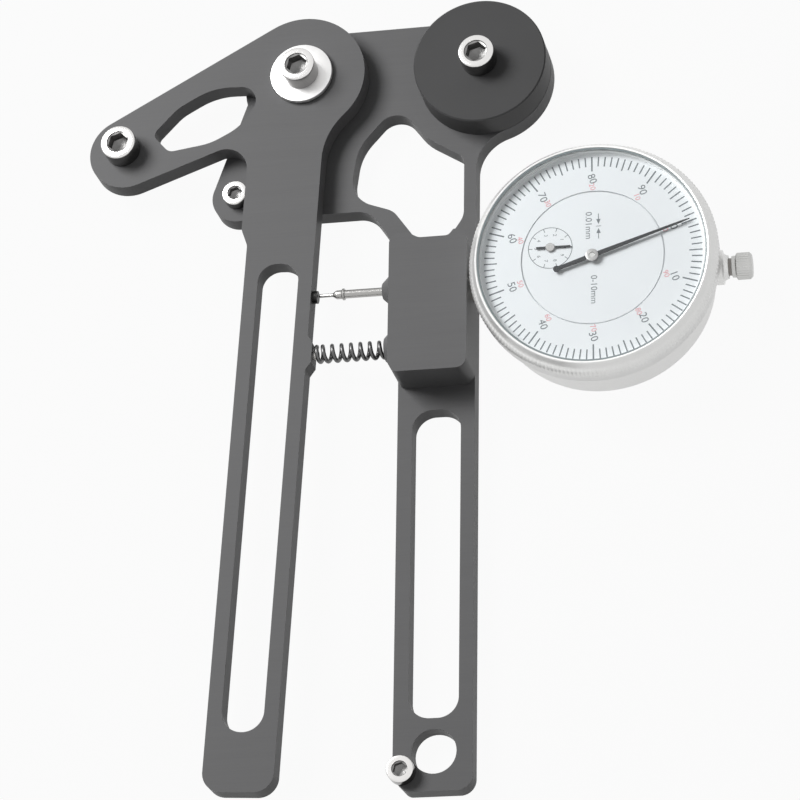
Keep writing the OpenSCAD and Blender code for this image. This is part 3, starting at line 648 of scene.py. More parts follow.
class Stock:
    """Mesh in the making, in metres."""

    def __init__(self) -> None:
        """Starts empty."""
        self.mesh = bmesh.new()

    def turn(
        self, rings: Sequence[Ring], sides: int, place: Matrix, hollow: bool = False
    ) -> "Stock":
        """Adds a turned solid.

        Args:
            rings: The profile, from one end to the other, or all round it for a hollow piece.
            sides: Points on each ring.
            place: Where the axis goes.
            hollow: True where the last ring joins the first.

        Returns:
            This stock.
        """
        loops = []
        for ring in rings:
            count = 1 if ring.radius_mm == 0 else sides
            angles = [TURN * k / sides for k in range(count)]
            loops.append([self.mesh.verts.new(place @ ring.point(angle)) for angle in angles])
        if hollow:
            loops.append(loops[0])
        self._join(loops, sides)
        if not hollow:
            self._close(loops)
        return self

    def tube(self, rings: Iterable[Sequence[Vector]]) -> "Stock":
        """Adds a tube with flat ends.

        Args:
            rings: The points round each of its rings in millimetres, all as many.

        Returns:
            This stock.
        """
        loops = [[self.mesh.verts.new(MM * point) for point in ring] for ring in rings]
        self._join(loops, len(loops[0]))
        self._close(loops)
        return self

    def _join(self, loops: Sequence[list[bmesh.types.BMVert]], sides: int) -> None:
        """Joins each loop of points to the next, where a loop may be a single point.

        Args:
            loops: The loops, one after another.
            sides: How many points a whole loop has.
        """
        for low, high in zip(loops, loops[1:]):
            for k in range(sides):
                after = (k + 1) % sides
                if len(low) == 1:
                    corners = [low[0], high[after], high[k]]
                elif len(high) == 1:
                    corners = [low[k], low[after], high[0]]
                else:
                    corners = [low[k], low[after], high[after], high[k]]
                self.mesh.faces.new(corners)

    def _close(self, loops: Sequence[list[bmesh.types.BMVert]]) -> None:
        """Puts a face on each end that isn't a single point.

        Args:
            loops: The loops, one after another.
        """
        for end in (loops[0][::-1], loops[-1]):
            if len(end) > 1:
                self.mesh.faces.new(end)

    def slab(
        self, outline: Iterable[Point], low_mm: float, high_mm: float, place: Matrix
    ) -> "Stock":
        """Adds an upright prism.

        Args:
            outline: Its corners in millimetres, anticlockwise.
            low_mm: Height of its underside.
            high_mm: Height of its top.
            place: Where its origin goes.

        Returns:
            This stock.
        """
        corners = list(outline)
        rows = [
            [self.mesh.verts.new(place @ Vector((x * MM, y * MM, z * MM))) for x, y in corners]
            for z in (low_mm, high_mm)
        ]
        self._join(rows, len(corners))
        self._close(rows)
        return self

    def print_on(self, outline: Iterable[Point], place: Matrix) -> "Stock":
        """Adds a flat inked shape.

        Args:
            outline: Its corners in millimetres, anticlockwise.
            place: Where its origin goes.

        Returns:
            This stock.
        """
        self.mesh.faces.new([
            self.mesh.verts.new(place @ Vector((x * MM, y * MM, 0.0))) for x, y in outline
        ])
        return self

    def letter(self, words: str, size_mm: float, place: Matrix) -> "Stock":
        """Adds printed figures, centred on their place.

        Args:
            words: The figures.
            size_mm: Their size.
            place: Their middle, with +X the reading direction.

        Returns:
            This stock.
        """
        curve = bpy.data.curves.new("figures", "FONT")
        curve.body = words
        curve.size = size_mm * MM
        curve.align_x = "CENTER"
        curve.align_y = "CENTER"
        curve.resolution_u = FIGURE_STEPS
        holder = bpy.data.objects.new("figures", curve)
        printed = bpy.data.meshes.new_from_object(holder)
        printed.transform(place)
        self.mesh.from_mesh(printed)
        bpy.data.objects.remove(holder)
        bpy.data.curves.remove(curve)
        bpy.data.meshes.remove(printed)
        return self

    def piece(self, name: str, finish: Finish, body: str, slot: str) -> bpy.types.Object:
        """Makes the stock into a piece that rides on a body.

        Args:
            name: The piece's name.
            finish: Its finish.
            body: The body that carries it.
            slot: The record's material slot; not used.

        Returns:
            The piece.
        """
        bmesh.ops.remove_doubles(self.mesh, verts=self.mesh.verts[:], dist=WELD_M)
        bmesh.ops.recalc_face_normals(self.mesh, faces=self.mesh.faces[:])
        data = bpy.data.meshes.new(name)
        self.mesh.to_mesh(data)
        self.mesh.free()
        data.polygons.foreach_set("use_smooth", [True] * len(data.polygons))
        data.set_sharp_from_angle(angle=SHARP_EDGE)
        made = bpy.data.objects.new(name, data)
        bpy.context.scene.collection.objects.link(made)
        made.data.materials.append(finish.material())
        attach(made, body)
        log.info("made %s with %d faces on %s", name, len(data.polygons), body)
        return made


@dataclass(frozen=True)
class Extent:
    """A CAD node's box at rest, in millimetres."""

    low: Vector
    high: Vector

    @classmethod
    def of(cls, node: str) -> "Extent":
        """The box of a node."""
        low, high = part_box(node)
        return cls(low / MM, high / MM)

    @property
    def centre(self) -> Vector:
        """Its middle."""
        return (self.low + self.high) / 2

    @property
    def size(self) -> Vector:
        """Its width, length and height."""
        return self.high - self.low


def dress(finish: Finish, *nodes: str) -> None:
    """Gives CAD nodes a finish.

    Args:
        finish: The finish.
        nodes: The nodes' names.
    """
    for node in nodes:
        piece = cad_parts[node]
        piece.data.materials.clear()
        piece.data.materials.append(finish.material())
        log.info("dressed %s with %s", node, finish.name)


# --- Sub-assemblies ---------------------------------------------------------------------------


@dataclass
class Plates:
    """The rear frame and the front arm, with their edges broken, and the boss."""

    edge_mm: float = 0.22
    steps: int = 2
    least_corner: float = math.radians(50)

    def build(self) -> None:
        """Dresses the plates and rounds their edges."""
        dress(PLATE, "rear_frame", "front_arm")
        boss = Extent.of("boss_spacer").centre
        dress(TurnedAnodising("boss anodising", (boss.x, boss.y)), "boss_spacer")
        for node in ("rear_frame", "front_arm"):
            self._break_edges(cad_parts[node])

    def _break_edges(self, piece: bpy.types.Object) -> None:
        """Adds a small bevel to a plate.

        Args:
            piece: The plate.
        """
        bevel = piece.modifiers.new("broken edge", "BEVEL")
        bevel.width = self.edge_mm * MM
        bevel.segments = self.steps
        bevel.limit_method = "ANGLE"
        bevel.angle_limit = self.least_corner
        bevel.harden_normals = False
        bevel.use_clamp_overlap = True


@dataclass
class CapScrew:
    """A cap screw with a rounded head, a bored mouth and a hexagon socket."""

    node: str
    body: str
    head_height_mm: float
    shank_mm: float
    key_mm: float
    mouth_mm: float
    crown_mm: float = 0.5
    tip_mm: float = 0.4
    soft_mm: float = 0.12
    mouth_depth_mm: float = 0.42
    socket_share: float = 0.62
    turned: float = 0.3
    sides: int = 72

    def build(self) -> None:
        """Turns the screw and puts it in the node's place."""
        box = Extent.of(self.node)
        # The screw's steel has painted shade in its socket and painted dark reflections on its walls.
        steel = BoredMetal(
            f"{self.node} steel", (0.76, 0.75, 0.74), roughness=0.16,
            centre_mm=(box.centre.x, box.centre.y), bore_mm=self.mouth_mm - 0.02,
        )
        rings = [*self._outside(box), *self._socket(box.high.z)]
        place = upright(box.centre.x, box.centre.y, 0.0, self.turned)
        made = Stock().turn(rings, self.sides, place).piece(
            f"{self.node}_fine", steel, self.body, "bright_steel"
        )
        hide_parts(self.node)

    def _outside(self, box: Extent) -> list[Ring]:
        """Draws the shank and the crowned head.

        Args:
            box: The CAD screw's box.

        Returns:
            The rings, from the shank's tip to the top.
        """
        head, low, top = box.size.x / 2, box.low.z, box.high.z
        seat = top - self.head_height_mm
        crown = profile(*(
            (
                head - self.crown_mm * (1 - math.cos(angle)),
                top - self.crown_mm * (1 - math.sin(angle)),
            )
            for angle in quarter_turn()
        ))
        shank, tip, soft = self.shank_mm, self.tip_mm, self.soft_mm
        under = profile(
            (shank - tip, low), (shank, low + tip), (shank, seat), (head - soft, seat),
            (head, seat + soft),
        )
        return [*under, *crown]

    def _socket(self, top: float) -> list[Ring]:
        """Draws the bored mouth, the hexagon and the drill's cone under it.

        Args:
            top: Height of the head's top in millimetres.

        Returns:
            The rings, from the mouth down.
        """
        flat = self.key_mm / 2
        drill = top - (self.socket_share + 0.02) * self.head_height_mm
        floor = top - self.socket_share * self.head_height_mm
        r = self.mouth_mm
        mouth = profile((r + 0.06, top), (r, top - 0.08), (r - 0.04, top - 0.3))
        key = profile((flat, top - self.mouth_depth_mm), (flat, floor), section=Section.HEXAGON)
        return [*mouth, *key, *profile((flat * 0.9, drill), (0.0, drill - flat * 0.5))]


@dataclass
class Pivot:
    """The five cap screws, and the bright washer and the bush of the arms' pivot."""

    post_head_mm: float = 5.0
    stop_head_mm: float = 3.0
    washer_bore_mm: float = 2.55
    washer_soft_mm: float = 0.15

    def build(self) -> None:
        """Makes the five screws and the washer."""
        posts = {"pivot_screw": "frame", "nose_screw": "arm", "boss_screw": "frame"}
        for node, body in posts.items():
            CapScrew(node, body, self.post_head_mm, shank_mm=2.5, key_mm=4.4, mouth_mm=2.75).build()
        for node in ("opening_stop_screw", "closing_stop_screw"):
            CapScrew(
                node, "frame", self.stop_head_mm,
                shank_mm=1.5, key_mm=2.8, mouth_mm=1.75, crown_mm=0.35,
            ).build()
        self._washer()
        dress(BRASS, "pivot_bush", "thrust_washer")

    def _washer(self) -> None:
        """Turns the bright washer with rounded rims."""
        box = Extent.of("pivot_washer")
        low, high, outer = box.low.z, box.high.z, box.size.x / 2
        inner, soft = self.washer_bore_mm, self.washer_soft_mm
        rings = profile(
            (inner, low), (outer - soft, low), (outer, low + soft), (outer, high - soft),
            (outer - 0.3 * soft, high - 0.3 * soft), (outer - soft, high), (inner, high),
        )
        made = Stock().turn(rings, 96, upright(box.centre.x, box.centre.y), hollow=True).piece(
            "pivot_washer_fine", WASHER, "frame", "bright_steel"
        )
        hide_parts("pivot_washer")


@dataclass
class ReturnSpring:
    """The coil spring between the front arm and the block, with its pins and the contact pad."""

    wire_mm: float = 1.0
    turns: int = 9
    close_turn: float = 0.6
    rings_a_turn: int = 28
    sides: int = 12
    end_path_mm: Point = (10.35, 1.3)

    def build(self) -> None:
        """Winds the wire and gives the piece its own copy of the mesh."""
        box = Extent.of("return_spring")
        made = Stock().tube(self._coil(box)).piece(
            "return_spring_fine", WIRE, "frame", "spring_steel"
        )
        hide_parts("return_spring")
        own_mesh(made)
        dress(STEEL, "arm_spring_pin", "block_spring_pin")
        dress(BLACKED, "contact_pad")

    def _coil(self, box: Extent) -> list[list[Vector]]:
        """Works out the rings of points round the wire.

        Args:
            box: The CAD spring's box.

        Returns:
            The rings, from the arm's end to the block's.
        """
        left, right = box.low.x + self.wire_mm / 2, box.high.x - self.wire_mm / 2
        radius = (box.size.z - self.wire_mm) / 2
        pitch = (right - left) / self._run(self.turns)
        side = Vector((1, 0, 0))
        angles = [TURN * k / self.sides for k in range(self.sides)]
        rings = []
        for step in range(self.turns * self.rings_a_turn + 1):
            t = step / self.rings_a_turn
            out = Vector((0.0, math.cos(TURN * t), math.sin(TURN * t)))
            on_axis = Vector((left + self._run(t) * pitch, box.centre.y, box.centre.z))
            middle = on_axis + radius * out
            rings.append([
                middle + self.wire_mm / 2 * (math.cos(angle) * out + math.sin(angle) * side)
                for angle in angles
            ])
        return rings

    def _run(self, t: float) -> float:
        """Pitches along the axis after t turns; the two end turns lie closer.

        Args:
            t: Turns from the arm's end.

        Returns:
            The length in pitches.
        """
        close, last = self.close_turn, self.turns - 1
        if t < 1:
            return close * t
        if t > last:
            return last - 1 + close + close * (t - last)
        return close + t - 1


@dataclass
class Plunger:
    """The spindle with its contact rod and its lifting knob.

    The rod's places run from its contact end, and the knob's from the end at the neck.
    """

    pin_mm: float = 0.45
    cone_at_mm: float = 3.5
    sleeve_mm: float = 1.05
    sleeve_at_mm: float = 4.4
    flange_at_mm: float = 5.72
    flange_end_mm: float = 6.3
    knob_teeth: int = 30
    knob_knurl_mm: float = 0.16
    knob_neck_mm: float = 0.85

    def build(self) -> None:
        """Turns the visible ends and dresses the rest."""
        self._rod()
        self._knob()
        dress(OILED, "spindle")
        dress(STEEL, "guide_pin")

    def _rod(self) -> None:
        """Turns the contact rod: pin, cone, sleeve, flange and shank."""
        box = Extent.of("contact_point")
        flange = box.size.z / 2
        shank = flange - 0.4
        pin, sleeve, near, far = self.pin_mm, self.sleeve_mm, self.flange_at_mm, self.flange_end_mm
        point = profile((0.0, 0.0), (0.2, 0.03), (0.38, 0.2), (pin, 0.5))
        cone = profile(
            (pin - 0.03, self.cone_at_mm - 0.2), (pin + 0.05, self.cone_at_mm),
            (sleeve - 0.05, self.sleeve_at_mm - 0.15), (sleeve, self.sleeve_at_mm),
        )
        collar = profile(
            (sleeve, near - 0.17), (shank, near - 0.12), (shank, near), (flange - 0.1, near),
            (flange, near + 0.13), (flange, far - 0.1), (flange - 0.12, far), (shank, far),
            (shank, box.size.x),
        )
        place = along_x(box.low.x, box.centre.y, box.centre.z)
        made = Stock().turn([*point, *cone, *collar], 40, place).piece(
            "contact_point_fine", ROD_STEEL, "plunger", "bright_steel"
        )
        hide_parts("contact_point")

    def _knob(self) -> None:
        """Turns the knurled lifting knob."""
        box = Extent.of("lifting_knob")
        r, length, neck = box.size.z / 2, box.size.x, self.knob_neck_mm
        knurl = {"section": Section.KNURL, "teeth": self.knob_teeth, "depth_mm": self.knob_knurl_mm}
        foot = profile(
            (0.0, 0.0), (r - 0.7, 0.0), (r - 0.6, 0.1), (r - 0.6, neck), (r - 0.3, neck + 0.15)
        )
        grip = profile((r, neck + 0.35), (r, length - 0.55), **knurl)
        end = profile(
            (r - 0.2, length - 0.4), (r - 0.35, length - 0.15), (r - 0.6, length), (0.0, length)
        )
        place = along_x(box.low.x, box.centre.y, box.centre.z)
        made = Stock().turn([*foot, *grip, *end], self.knob_teeth * 6, place).piece(
            "lifting_knob_fine", KNOB_STEEL, "plunger", "steel"
        )
        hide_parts("lifting_knob")


@dataclass
class Gauge:
    """The gauge's case, cover, stem, neck, bezel, crystal and hidden movement.

    Along the bezel's outside, each point of the band and of the shoulder is how far it lies in
    from the widest ring and how high above the dial's face. A rim's point is how far it lies in
    and how far below the top.
    """

    knurl_teeth: int = 190
    knurl_mm: float = 0.15
    band_low_mm: float = 1.75
    band_mm: Outline = ((0.1, -1.6), (0.0, -1.35), (0.05, -0.8), (0.35, -0.15), (0.75, 0.4))
    shoulder_mm: Outline = ((1.0, 0.55), (1.3, 1.1), (1.55, 1.6))
    rim_mm: Outline = ((1.72, 0.4), (1.86, 0.12), (2.02, 0.0))
    skirt_overlap_mm: float = 0.7
    play_mm: float = 0.05
    flare_mm: float = 1.25
    collar_mm: float = 0.5
    land_mm: float = 0.05
    crystal_soft_mm: float = 0.2
    # Width of the dark ring of painted gap shade round the crystal.
    gap_shade_mm: float = 0.42
    box: Extent = field(default_factory=lambda: Extent.of("bezel"))

    @property
    def hub(self) -> Point:
        """The gauge's axis."""
        return self.box.centre.x, self.box.centre.y

    def build(self) -> None:
        """Makes the bezel, crystal and neck and dresses the rest."""
        dress(PLATING, "gauge_case")
        self._bezel()
        self._crystal()
        self._neck()
        dress(PLATING, "back_cover", "retaining_ring")
        dress(STEEL, "cover_screws", "stem", "movement_pillars", "centre_arbor", "drive_arbor")
        dress(BRASS, "stem_bushes", "guide_rail", "lower_plate", "upper_plate")
        dress(BRASS, "drive_wheel", "take_up_wheel")
        dress(BLACKED, "stem_clamp_screw", "hairspring")

    def _bezel(self) -> None:
        """Turns the bezel: plain skirt, knurled band, soft shoulder, rim and inner wall."""
        low, top, outer = self.box.low.z, self.box.high.z, self.box.size.x / 2
        cover, dial = Extent.of("crystal"), Extent.of("dial_ring")
        inner, face, seat = cover.size.x / 2, dial.high.z, dial.low.z
        lip = cover.high.z + 0.01
        skirt = Extent.of("gauge_case").size.x / 2 - self.skirt_overlap_mm
        knurl = {"section": Section.KNURL, "teeth": self.knurl_teeth, "depth_mm": self.knurl_mm}
        skirt_rings = profile(
            (skirt, low), (outer - 0.5, low), (outer - 0.34, low + 0.1), (outer - 0.26, low + 0.3),
            (outer - 0.24, face - self.band_low_mm),
        )
        outside = [
            *profile(*((outer - inset, face + rise) for inset, rise in self.band_mm), **knurl),
            *profile(*((outer - inset, face + rise) for inset, rise in self.shoulder_mm)),
            *profile(*((outer - inset, top - drop) for inset, drop in self.rim_mm)),
        ]
        inside = profile(
            (inner - 0.14, top), (inner - 0.24, top - 0.06), (inner - 0.28, lip),
            (inner + 0.02, lip), (inner + 0.02, seat), (skirt, seat),
        )
        rings = [*skirt_rings, *outside, *inside]
        made = Stock().turn(rings, self.knurl_teeth * 4, upright(*self.hub), hollow=True).piece(
            "bezel_fine", PLATING, "bezel_ring", "bezel_metal"
        )
        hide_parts("bezel")

    def _neck(self) -> None:
        """Turns the neck that guides the spindle, flared where it meets the case."""
        box = Extent.of("neck_bush")
        wall = Extent.of("gauge_case").high.x - box.low.x
        r, length = box.size.z / 2, box.size.x
        bore = Extent.of("spindle").size.z / 2 + self.play_mm
        flare_r = self.flare_mm
        root = length - flare_r - self.land_mm
        collar = wall - self.collar_mm
        flare = (
            (r + flare_r * (1 - math.sin(angle)), root + flare_r * (1 - math.cos(angle)))
            for angle in quarter_turn()
        )
        rings = profile(
            (bore, 0.0), (r, 0.0), (r, collar - self.land_mm), (r + flare_r, collar), *flare,
            (bore, length),
        )
        place = along_x(box.low.x, box.centre.y, box.centre.z)
        made = Stock().turn(rings, 56, place, hollow=True).piece(
            "neck_bush_fine", PLATING, "frame", "steel"
        )
        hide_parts("neck_bush")

    def _crystal(self) -> None:
        """Turns the clear cover with a broken edge, and a dark ring round it: painted shade in the
        gap.
        """
        box = Extent.of("crystal")
        r, low, top, soft = box.size.x / 2, box.low.z, box.high.z, self.crystal_soft_mm
        rings = profile(
            (0.0, low), (r - soft, low), (r, low + soft), (r, top - soft), (r - soft, top),
            (0.0, top),
        )
        made = Stock().turn(rings, 128, upright(*self.hub)).piece(
            "crystal_fine", CRYSTAL, "bezel_ring", "crystal"
        )
        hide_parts("crystal")
        # A dark ring lying on the crystal against the lip: painted shade for the gap under the rim.
        gap_shade_r, foot = r - 0.3, top + 0.005
        lip = profile(
            (gap_shade_r, foot), (gap_shade_r, top + 0.12), (gap_shade_r - 0.15, top + 0.1), (gap_shade_r - self.gap_shade_mm, foot)
        )
        Stock().turn(lip, 192, upright(*self.hub), hollow=True).piece(
            "crystal_gap_shade", GAP_SHADE_PAINT, "bezel_ring", "needle_paint"
        )


@dataclass
class Dial:
    """The print on the turning outer ring and on the fixed inner dial."""

    zero_turn: float = math.radians(18)
    divisions: int = 100
    tick_outer_mm: float = 25.0
    long_tick_mm: Point = (3.6, 0.34)
    middle_tick_mm: Point = (3.0, 0.3)
    short_tick_mm: Point = (2.4, 0.3)
    figure_mm: float = 2.5
    figure_radius_mm: float = 19.5
    red_mm: float = 1.8
    red_radius_mm: float = 17.5
    small_divisions: int = 10
    small_radius_mm: float = 5.1
    small_line_mm: float = 0.15
    small_tick_mm: Triple = (4.1, 5.0, 0.14)
    small_figure_mm: float = 1.15
    small_figure_radius_mm: float = 3.3
    words_mm: float = 2.1
    step_words_mm: Point = (-0.9, 7.9)
    range_words_mm: Point = (0.2, -8.0)
    arrows_mm: Point = (1.4, 7.6)
    circle_sides: int = 96
    ink_mm: float = 0.015
    ring: Extent = field(default_factory=lambda: Extent.of("dial_ring"))
    inner: Extent = field(default_factory=lambda: Extent.of("inner_dial"))

    def build(self) -> None:
        """Paints the dials and prints their ticks and figures."""
        dress(DIAL_WHITE, "dial_ring", "inner_dial")
        self._seat()
        self._print_ring()
        self._print_inner()

    def _spot(self, height_mm: float, radius_mm: float, angle: float, turn: float) -> Matrix:
        """A place on the dial.

        Args:
            height_mm: Height of the printed face.
            radius_mm: Distance from the gauge's axis.
            angle: Direction from that axis.
            turn: Direction of the place's own +X.

        Returns:
            The place.
        """
        x = self.ring.centre.x + radius_mm * math.cos(angle)
        y = self.ring.centre.y + radius_mm * math.sin(angle)
        return upright(x, y, height_mm + self.ink_mm, turn)

    def _seat(self) -> None:
        """Turns the grey seat ring that shows in the gap between the two dials."""
        edge, low = self.inner.size.x / 2, self.inner.low.z
        rings = profile(
            (edge - 0.4, low - 0.35), (edge + 0.6, low - 0.35), (edge + 0.7, low - 0.25),
            (edge + 0.7, low - 0.06), (edge + 0.6, low - 0.02), (edge - 0.4, low - 0.02),
        )
        place = upright(self.inner.centre.x, self.inner.centre.y)
        Stock().turn(rings, 96, place, hollow=True).piece(
            "dial_seat", SEAT_GREY, "frame", "dial_paint"
        )

    def _tick(self, n: int) -> Point:
        """Length and width of a tick.

        Args:
            n: Its number, from the zero.

        Returns:
            The length and the width in millimetres.
        """
        if n % 10 == 0:
            return self.long_tick_mm
        return self.middle_tick_mm if n % 5 == 0 else self.short_tick_mm

    def _print_ring(self) -> None:
        """Prints ticks, black figures and red figures on the outer ring."""
        face = self.ring.high.z
        ticks, black, red = Stock(), Stock(), Stock()
        for n in range(self.divisions):
            angle = self.zero_turn - TURN * n / self.divisions
            length, width = self._tick(n)
            spot = self._spot(face, self.tick_outer_mm, angle, angle)
            ticks.print_on(bar(-length, 0.0, width), spot)
        reading = self.zero_turn - TURN / 4
        for n in range(0, self.divisions, 10):
            angle = self.zero_turn - TURN * n / self.divisions
            back = (self.divisions - n) % self.divisions
            spot = self._spot(face, self.figure_radius_mm, angle, reading)
            red_spot = self._spot(face, self.red_radius_mm, angle, reading)
            black.letter(str(n), self.figure_mm, spot)
            red.letter(str(back), self.red_mm, red_spot)
        ticks.piece("dial_ticks", BLACK_INK, "bezel_ring", "needle_paint")
        black.piece("dial_figures", BLACK_INK, "bezel_ring", "needle_paint")
        red.piece("dial_figures_red", RED_INK, "bezel_ring", "needle_paint")

    def _circle(self, stock: Stock, radius_mm: float, width_mm: float, place: Matrix) -> None:
        """Prints a thin circle.

        Args:
            stock: The ink.
            radius_mm: Its outer radius.
            width_mm: Width of the line.
            place: Its middle.
        """
        inner = radius_mm - width_mm
        for k in range(self.circle_sides):
            start, end = (TURN * side / self.circle_sides for side in (k, k + 1))
            stock.print_on(
                [
                    (inner * math.cos(start), inner * math.sin(start)),
                    (radius_mm * math.cos(start), radius_mm * math.sin(start)),
                    (radius_mm * math.cos(end), radius_mm * math.sin(end)),
                    (inner * math.cos(end), inner * math.sin(end)),
                ],
                place,
            )

    def _print_inner(self) -> None:
        """Prints the small dial, the range, the step and its arrows on the fixed inner dial."""
        stock = Stock()
        self._print_small(stock)
        self._print_marks(stock)
        stock.piece("inner_dial_print", BLACK_INK, "frame", "needle_paint")

    def _print_small(self, stock: Stock) -> None:
        """Prints the small dial that counts the main needle's turns.

        Args:
            stock: The ink.
        """
        arbor = Extent.of("drive_arbor").centre
        height = self.inner.high.z + self.ink_mm
        middle = upright(arbor.x, arbor.y, height)
        self._circle(stock, self.small_radius_mm, self.small_line_mm, middle)
        for n in range(self.small_divisions):
            angle = TURN * n / self.small_divisions
            stock.print_on(bar(*self.small_tick_mm), middle @ Matrix.Rotation(-angle, 4, "Z"))
            x = arbor.x + self.small_figure_radius_mm * math.cos(angle)
            y = arbor.y + self.small_figure_radius_mm * math.sin(angle)
            stock.letter(str(n), self.small_figure_mm, upright(x, y, height, -TURN / 4))

    def _print_marks(self, stock: Stock) -> None:
        """Prints the gauge's step with its two arrows, and its range.

        Args:
            stock: The ink.
        """
        hub, height = self.inner.centre, self.inner.high.z + self.ink_mm
        for words, (x, y) in (("0.01mm", self.step_words_mm), ("0-10mm", self.range_words_mm)):
            stock.letter(words, self.words_mm, upright(hub.x + x, hub.y + y, height, -TURN / 4))
        x, y = hub.x + self.arrows_mm[0], hub.y + self.arrows_mm[1]
        for way in (-1, 1):
            arrow = upright(x, y, height, way * TURN / 4)
            stock.print_on([(0.5, 0.0), (1.75, -0.5), (1.75, 0.5)], arrow)
            stock.print_on(bar(1.75, 3.1, 0.18), arrow)
        stock.print_on(bar(-0.6, 0.6, 0.14), upright(x, y, height))


@dataclass
class Needles:
    """The main needle and the small revolution needle."""

    main_angle: float = math.radians(18.5)
    tip_mm: float = 23.5
    tail_mm: float = 8.2
    weight_at_mm: float = 8.6
    weight_mm: float = 0.75
    small_tip_mm: float = 4.7
    small_tail_mm: float = 3.2
    small_thick_mm: float = 0.2

    def build(self) -> None:
        """Cuts both needles and turns their hubs."""
        self._main()
        self._main_hub()
        self._small()

    def _main_place(self) -> Matrix:
        """The main needle's place, along its angle at rest."""
        hub = Extent.of("centre_arbor").centre
        return upright(hub.x, hub.y, 0.0, self.main_angle)

    def _main(self) -> None:
        """Cuts the long tapered needle with its round counterweight."""
        blade = Extent.of("main_needle")
        low, high, place = blade.low.z, blade.high.z, self._main_place()
        tip, tail = self.tip_mm, self.tail_mm
        edge = [(-tail, -0.42), (-1.2, -0.5), (1.2, -0.5), (tip - 2.0, -0.2), (tip, -0.05)]
        outline = [*edge, *((x, -y) for x, y in reversed(edge))]
        r, cap = self.weight_mm, high + 0.02
        weight = profile((0.0, low), (r, low), (r, cap), (0.0, cap))
        stock = Stock().slab(outline, low, high, place)
        stock.turn(weight, 32, place @ Matrix.Translation((-self.weight_at_mm * MM, 0, 0)))
        made = stock.piece("main_needle_fine", NEEDLE_BLACK, "main_hand", "needle_paint")
        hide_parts("main_needle")

    def _main_hub(self) -> None:
        """Turns the main needle's bright hub with its shallow dimple."""
        head = Extent.of("needle_hub")
        seat = Extent.of("main_needle").high.z
        low, top, r = head.low.z, head.high.z, head.size.x / 2
        rings = profile(
            (1.1, low), (1.1, seat), (r - 0.06, seat), (r, seat + 0.06), (r, top - 0.12),
            (r - 0.08, top - 0.03), (r - 0.25, top), (0.7, top), (0.62, top - 0.1),
            (0.6, top - 0.25), (0.0, top - 0.25),
        )
        made = Stock().turn(rings, 48, self._main_place()).piece(
            "needle_hub_fine", HUB_STEEL, "main_hand", "bezel_metal"
        )
        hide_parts("needle_hub")

    def _small(self) -> None:
        """Cuts the small needle and turns its hub."""
        arbor = Extent.of("drive_arbor").centre
        box = Extent.of("revolution_needle")
        low, top, place = box.low.z, box.high.z, upright(arbor.x, arbor.y)
        tip, tail = self.small_tip_mm, self.small_tail_mm
        outline = [(-tail, -0.26), (tip, -0.2), (tip, 0.2), (-tail, 0.26)]
        made = Stock().slab(outline, low, low + self.small_thick_mm, place).piece(
            "revolution_needle_fine", NEEDLE_BLACK, "revolution_hand", "needle_paint"
        )
        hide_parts("revolution_needle")
        rings = profile(
            (1.0, low), (1.05, top - 0.12), (0.92, top), (0.4, top), (0.35, top - 0.06),
            (0.0, top - 0.06),
        )
        Stock().turn(rings, 36, place).piece(
            "revolution_hub", HUB_STEEL, "revolution_hand", "steel"
        )


# --- Studio -----------------------------------------------------------------------------------


@dataclass
class Lamp:
    """A square soft lamp that looks at the tool."""

    name: str
    direction: Triple
    distance_m: float
    size_m: float
    power_w: float

    def hang(self, target: Vector) -> None:
        """Hangs the lamp.

        Args:
            target: What it looks at.
        """
        data = bpy.data.lights.new(self.name, "AREA")
        data.shape = "SQUARE"
        data.size = self.size_m
        data.energy = self.power_w
        lamp = bpy.data.objects.new(self.name, data)
        way = Vector(self.direction).normalized()
        lamp.location = target + way * self.distance_m
        lamp.rotation_mode = "QUATERNION"
        lamp.rotation_quaternion = way.to_track_quat("Z", "Y")
        bpy.context.scene.collection.objects.link(lamp)
        log.info("hung %s at %.1f W", self.name, self.power_w)


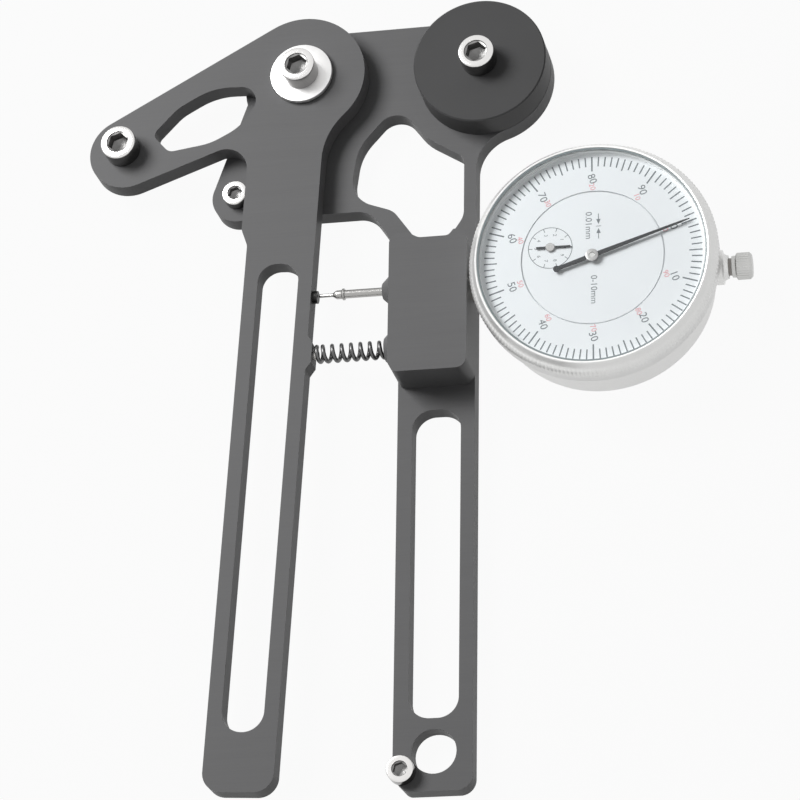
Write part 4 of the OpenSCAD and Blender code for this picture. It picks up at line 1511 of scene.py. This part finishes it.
@dataclass
class Studio:
    """The pale floor, the soft lamps, the surroundings and the photograph's camera."""

    camera_mm: Triple = (176.4, -369.9, 711.5)
    azimuth: float = math.radians(27.99)
    elevation: float = math.radians(65.3)
    roll: float = math.radians(-29.47)
    lens_mm: float = 152.19
    sensor_mm: float = 36.0
    sight_m: Point = (0.05, 20.0)
    floor_m: float = 6.0
    floor_drop_mm: float = 0.3
    floor_grey: float = 0.26
    floor_glow: float = 0.95
    surround: float = 0.2
    lamps: tuple[Lamp, ...] = (
        Lamp("key lamp", (-0.66, 0.42, 0.85), 0.9, 0.42, 8.1),
        Lamp("fill lamp", (0.8, -0.3, 0.9), 1.1, 0.8, 0.25),
    )

    def build(self) -> None:
        """Sets up the studio."""
        target = (CAD_BOX[0] + CAD_BOX[1]) / 2
        for lamp in self.lamps:
            lamp.hang(target)
        self._floor()
        self._surroundings()
        self._camera()
        bpy.context.scene.view_settings.view_transform = "Standard"

    def _floor(self) -> None:
        """Lays the white floor, which keeps the tool's shadow."""
        half, z = self.floor_m / 2, -self.floor_drop_mm * MM
        corners = [(-half, -half, z), (half, -half, z), (half, half, z), (-half, half, z)]
        data = bpy.data.meshes.new("floor")
        data.from_pydata(corners, [], [(0, 1, 2, 3)])
        floor = bpy.data.objects.new("floor", data)
        bpy.context.scene.collection.objects.link(floor)
        made = bpy.data.materials.new("white floor")
        tree = Tree(made)
        seen = tree.seen_straight() * self.floor_glow
        matt = tree.node("ShaderNodeBsdfDiffuse", {}, {"Color": (*(self.floor_grey,) * 3, 1.0)})
        glow = tree.node("ShaderNodeEmission", {}, {"Color": WHITE, "Strength": 1.0})
        tree.finish(tree.node("ShaderNodeMixShader", {}, {0: seen, 1: matt, 2: glow}))
        data.materials.append(made)

    def _surroundings(self) -> None:
        """Lights the world evenly and shows it white to camera, gloss and glass."""
        world = bpy.data.worlds.new("studio")
        bpy.context.scene.world = world
        tree = Tree(world)
        strength = self.surround + tree.seen_straight() * (1 - self.surround)
        shader = tree.node("ShaderNodeBackground", {}, {"Color": WHITE, "Strength": strength})
        tree.finish(shader, "ShaderNodeOutputWorld")

    def _camera(self) -> None:
        """Puts the camera where the photograph was taken from."""
        data = bpy.data.cameras.new("camera")
        data.lens = self.lens_mm
        data.sensor_width = self.sensor_mm
        data.clip_start, data.clip_end = self.sight_m
        camera = bpy.data.objects.new("camera", data)
        camera.rotation_mode = "QUATERNION"
        turned = (
            Matrix.Rotation(self.azimuth, 3, "Z")
            @ Matrix.Rotation(TURN / 4 - self.elevation, 3, "X")
            @ Matrix.Rotation(self.roll, 3, "Z")
        )
        camera.rotation_quaternion = turned.to_quaternion()
        camera.location = Vector(self.camera_mm) * MM
        bpy.context.scene.collection.objects.link(camera)
        bpy.context.scene.camera = camera


def main() -> None:
    """Builds every sub-assembly in order, then the studio."""
    logging.basicConfig(level=logging.INFO, format="%(name)s: %(message)s")
    parts = (Plates(), Pivot(), ReturnSpring(), Plunger(), Gauge(), Dial(), Needles(), Studio())
    for part in parts:
        log.info("building %s", type(part).__name__)
        part.build()


if __name__ == "__main__":
    main()
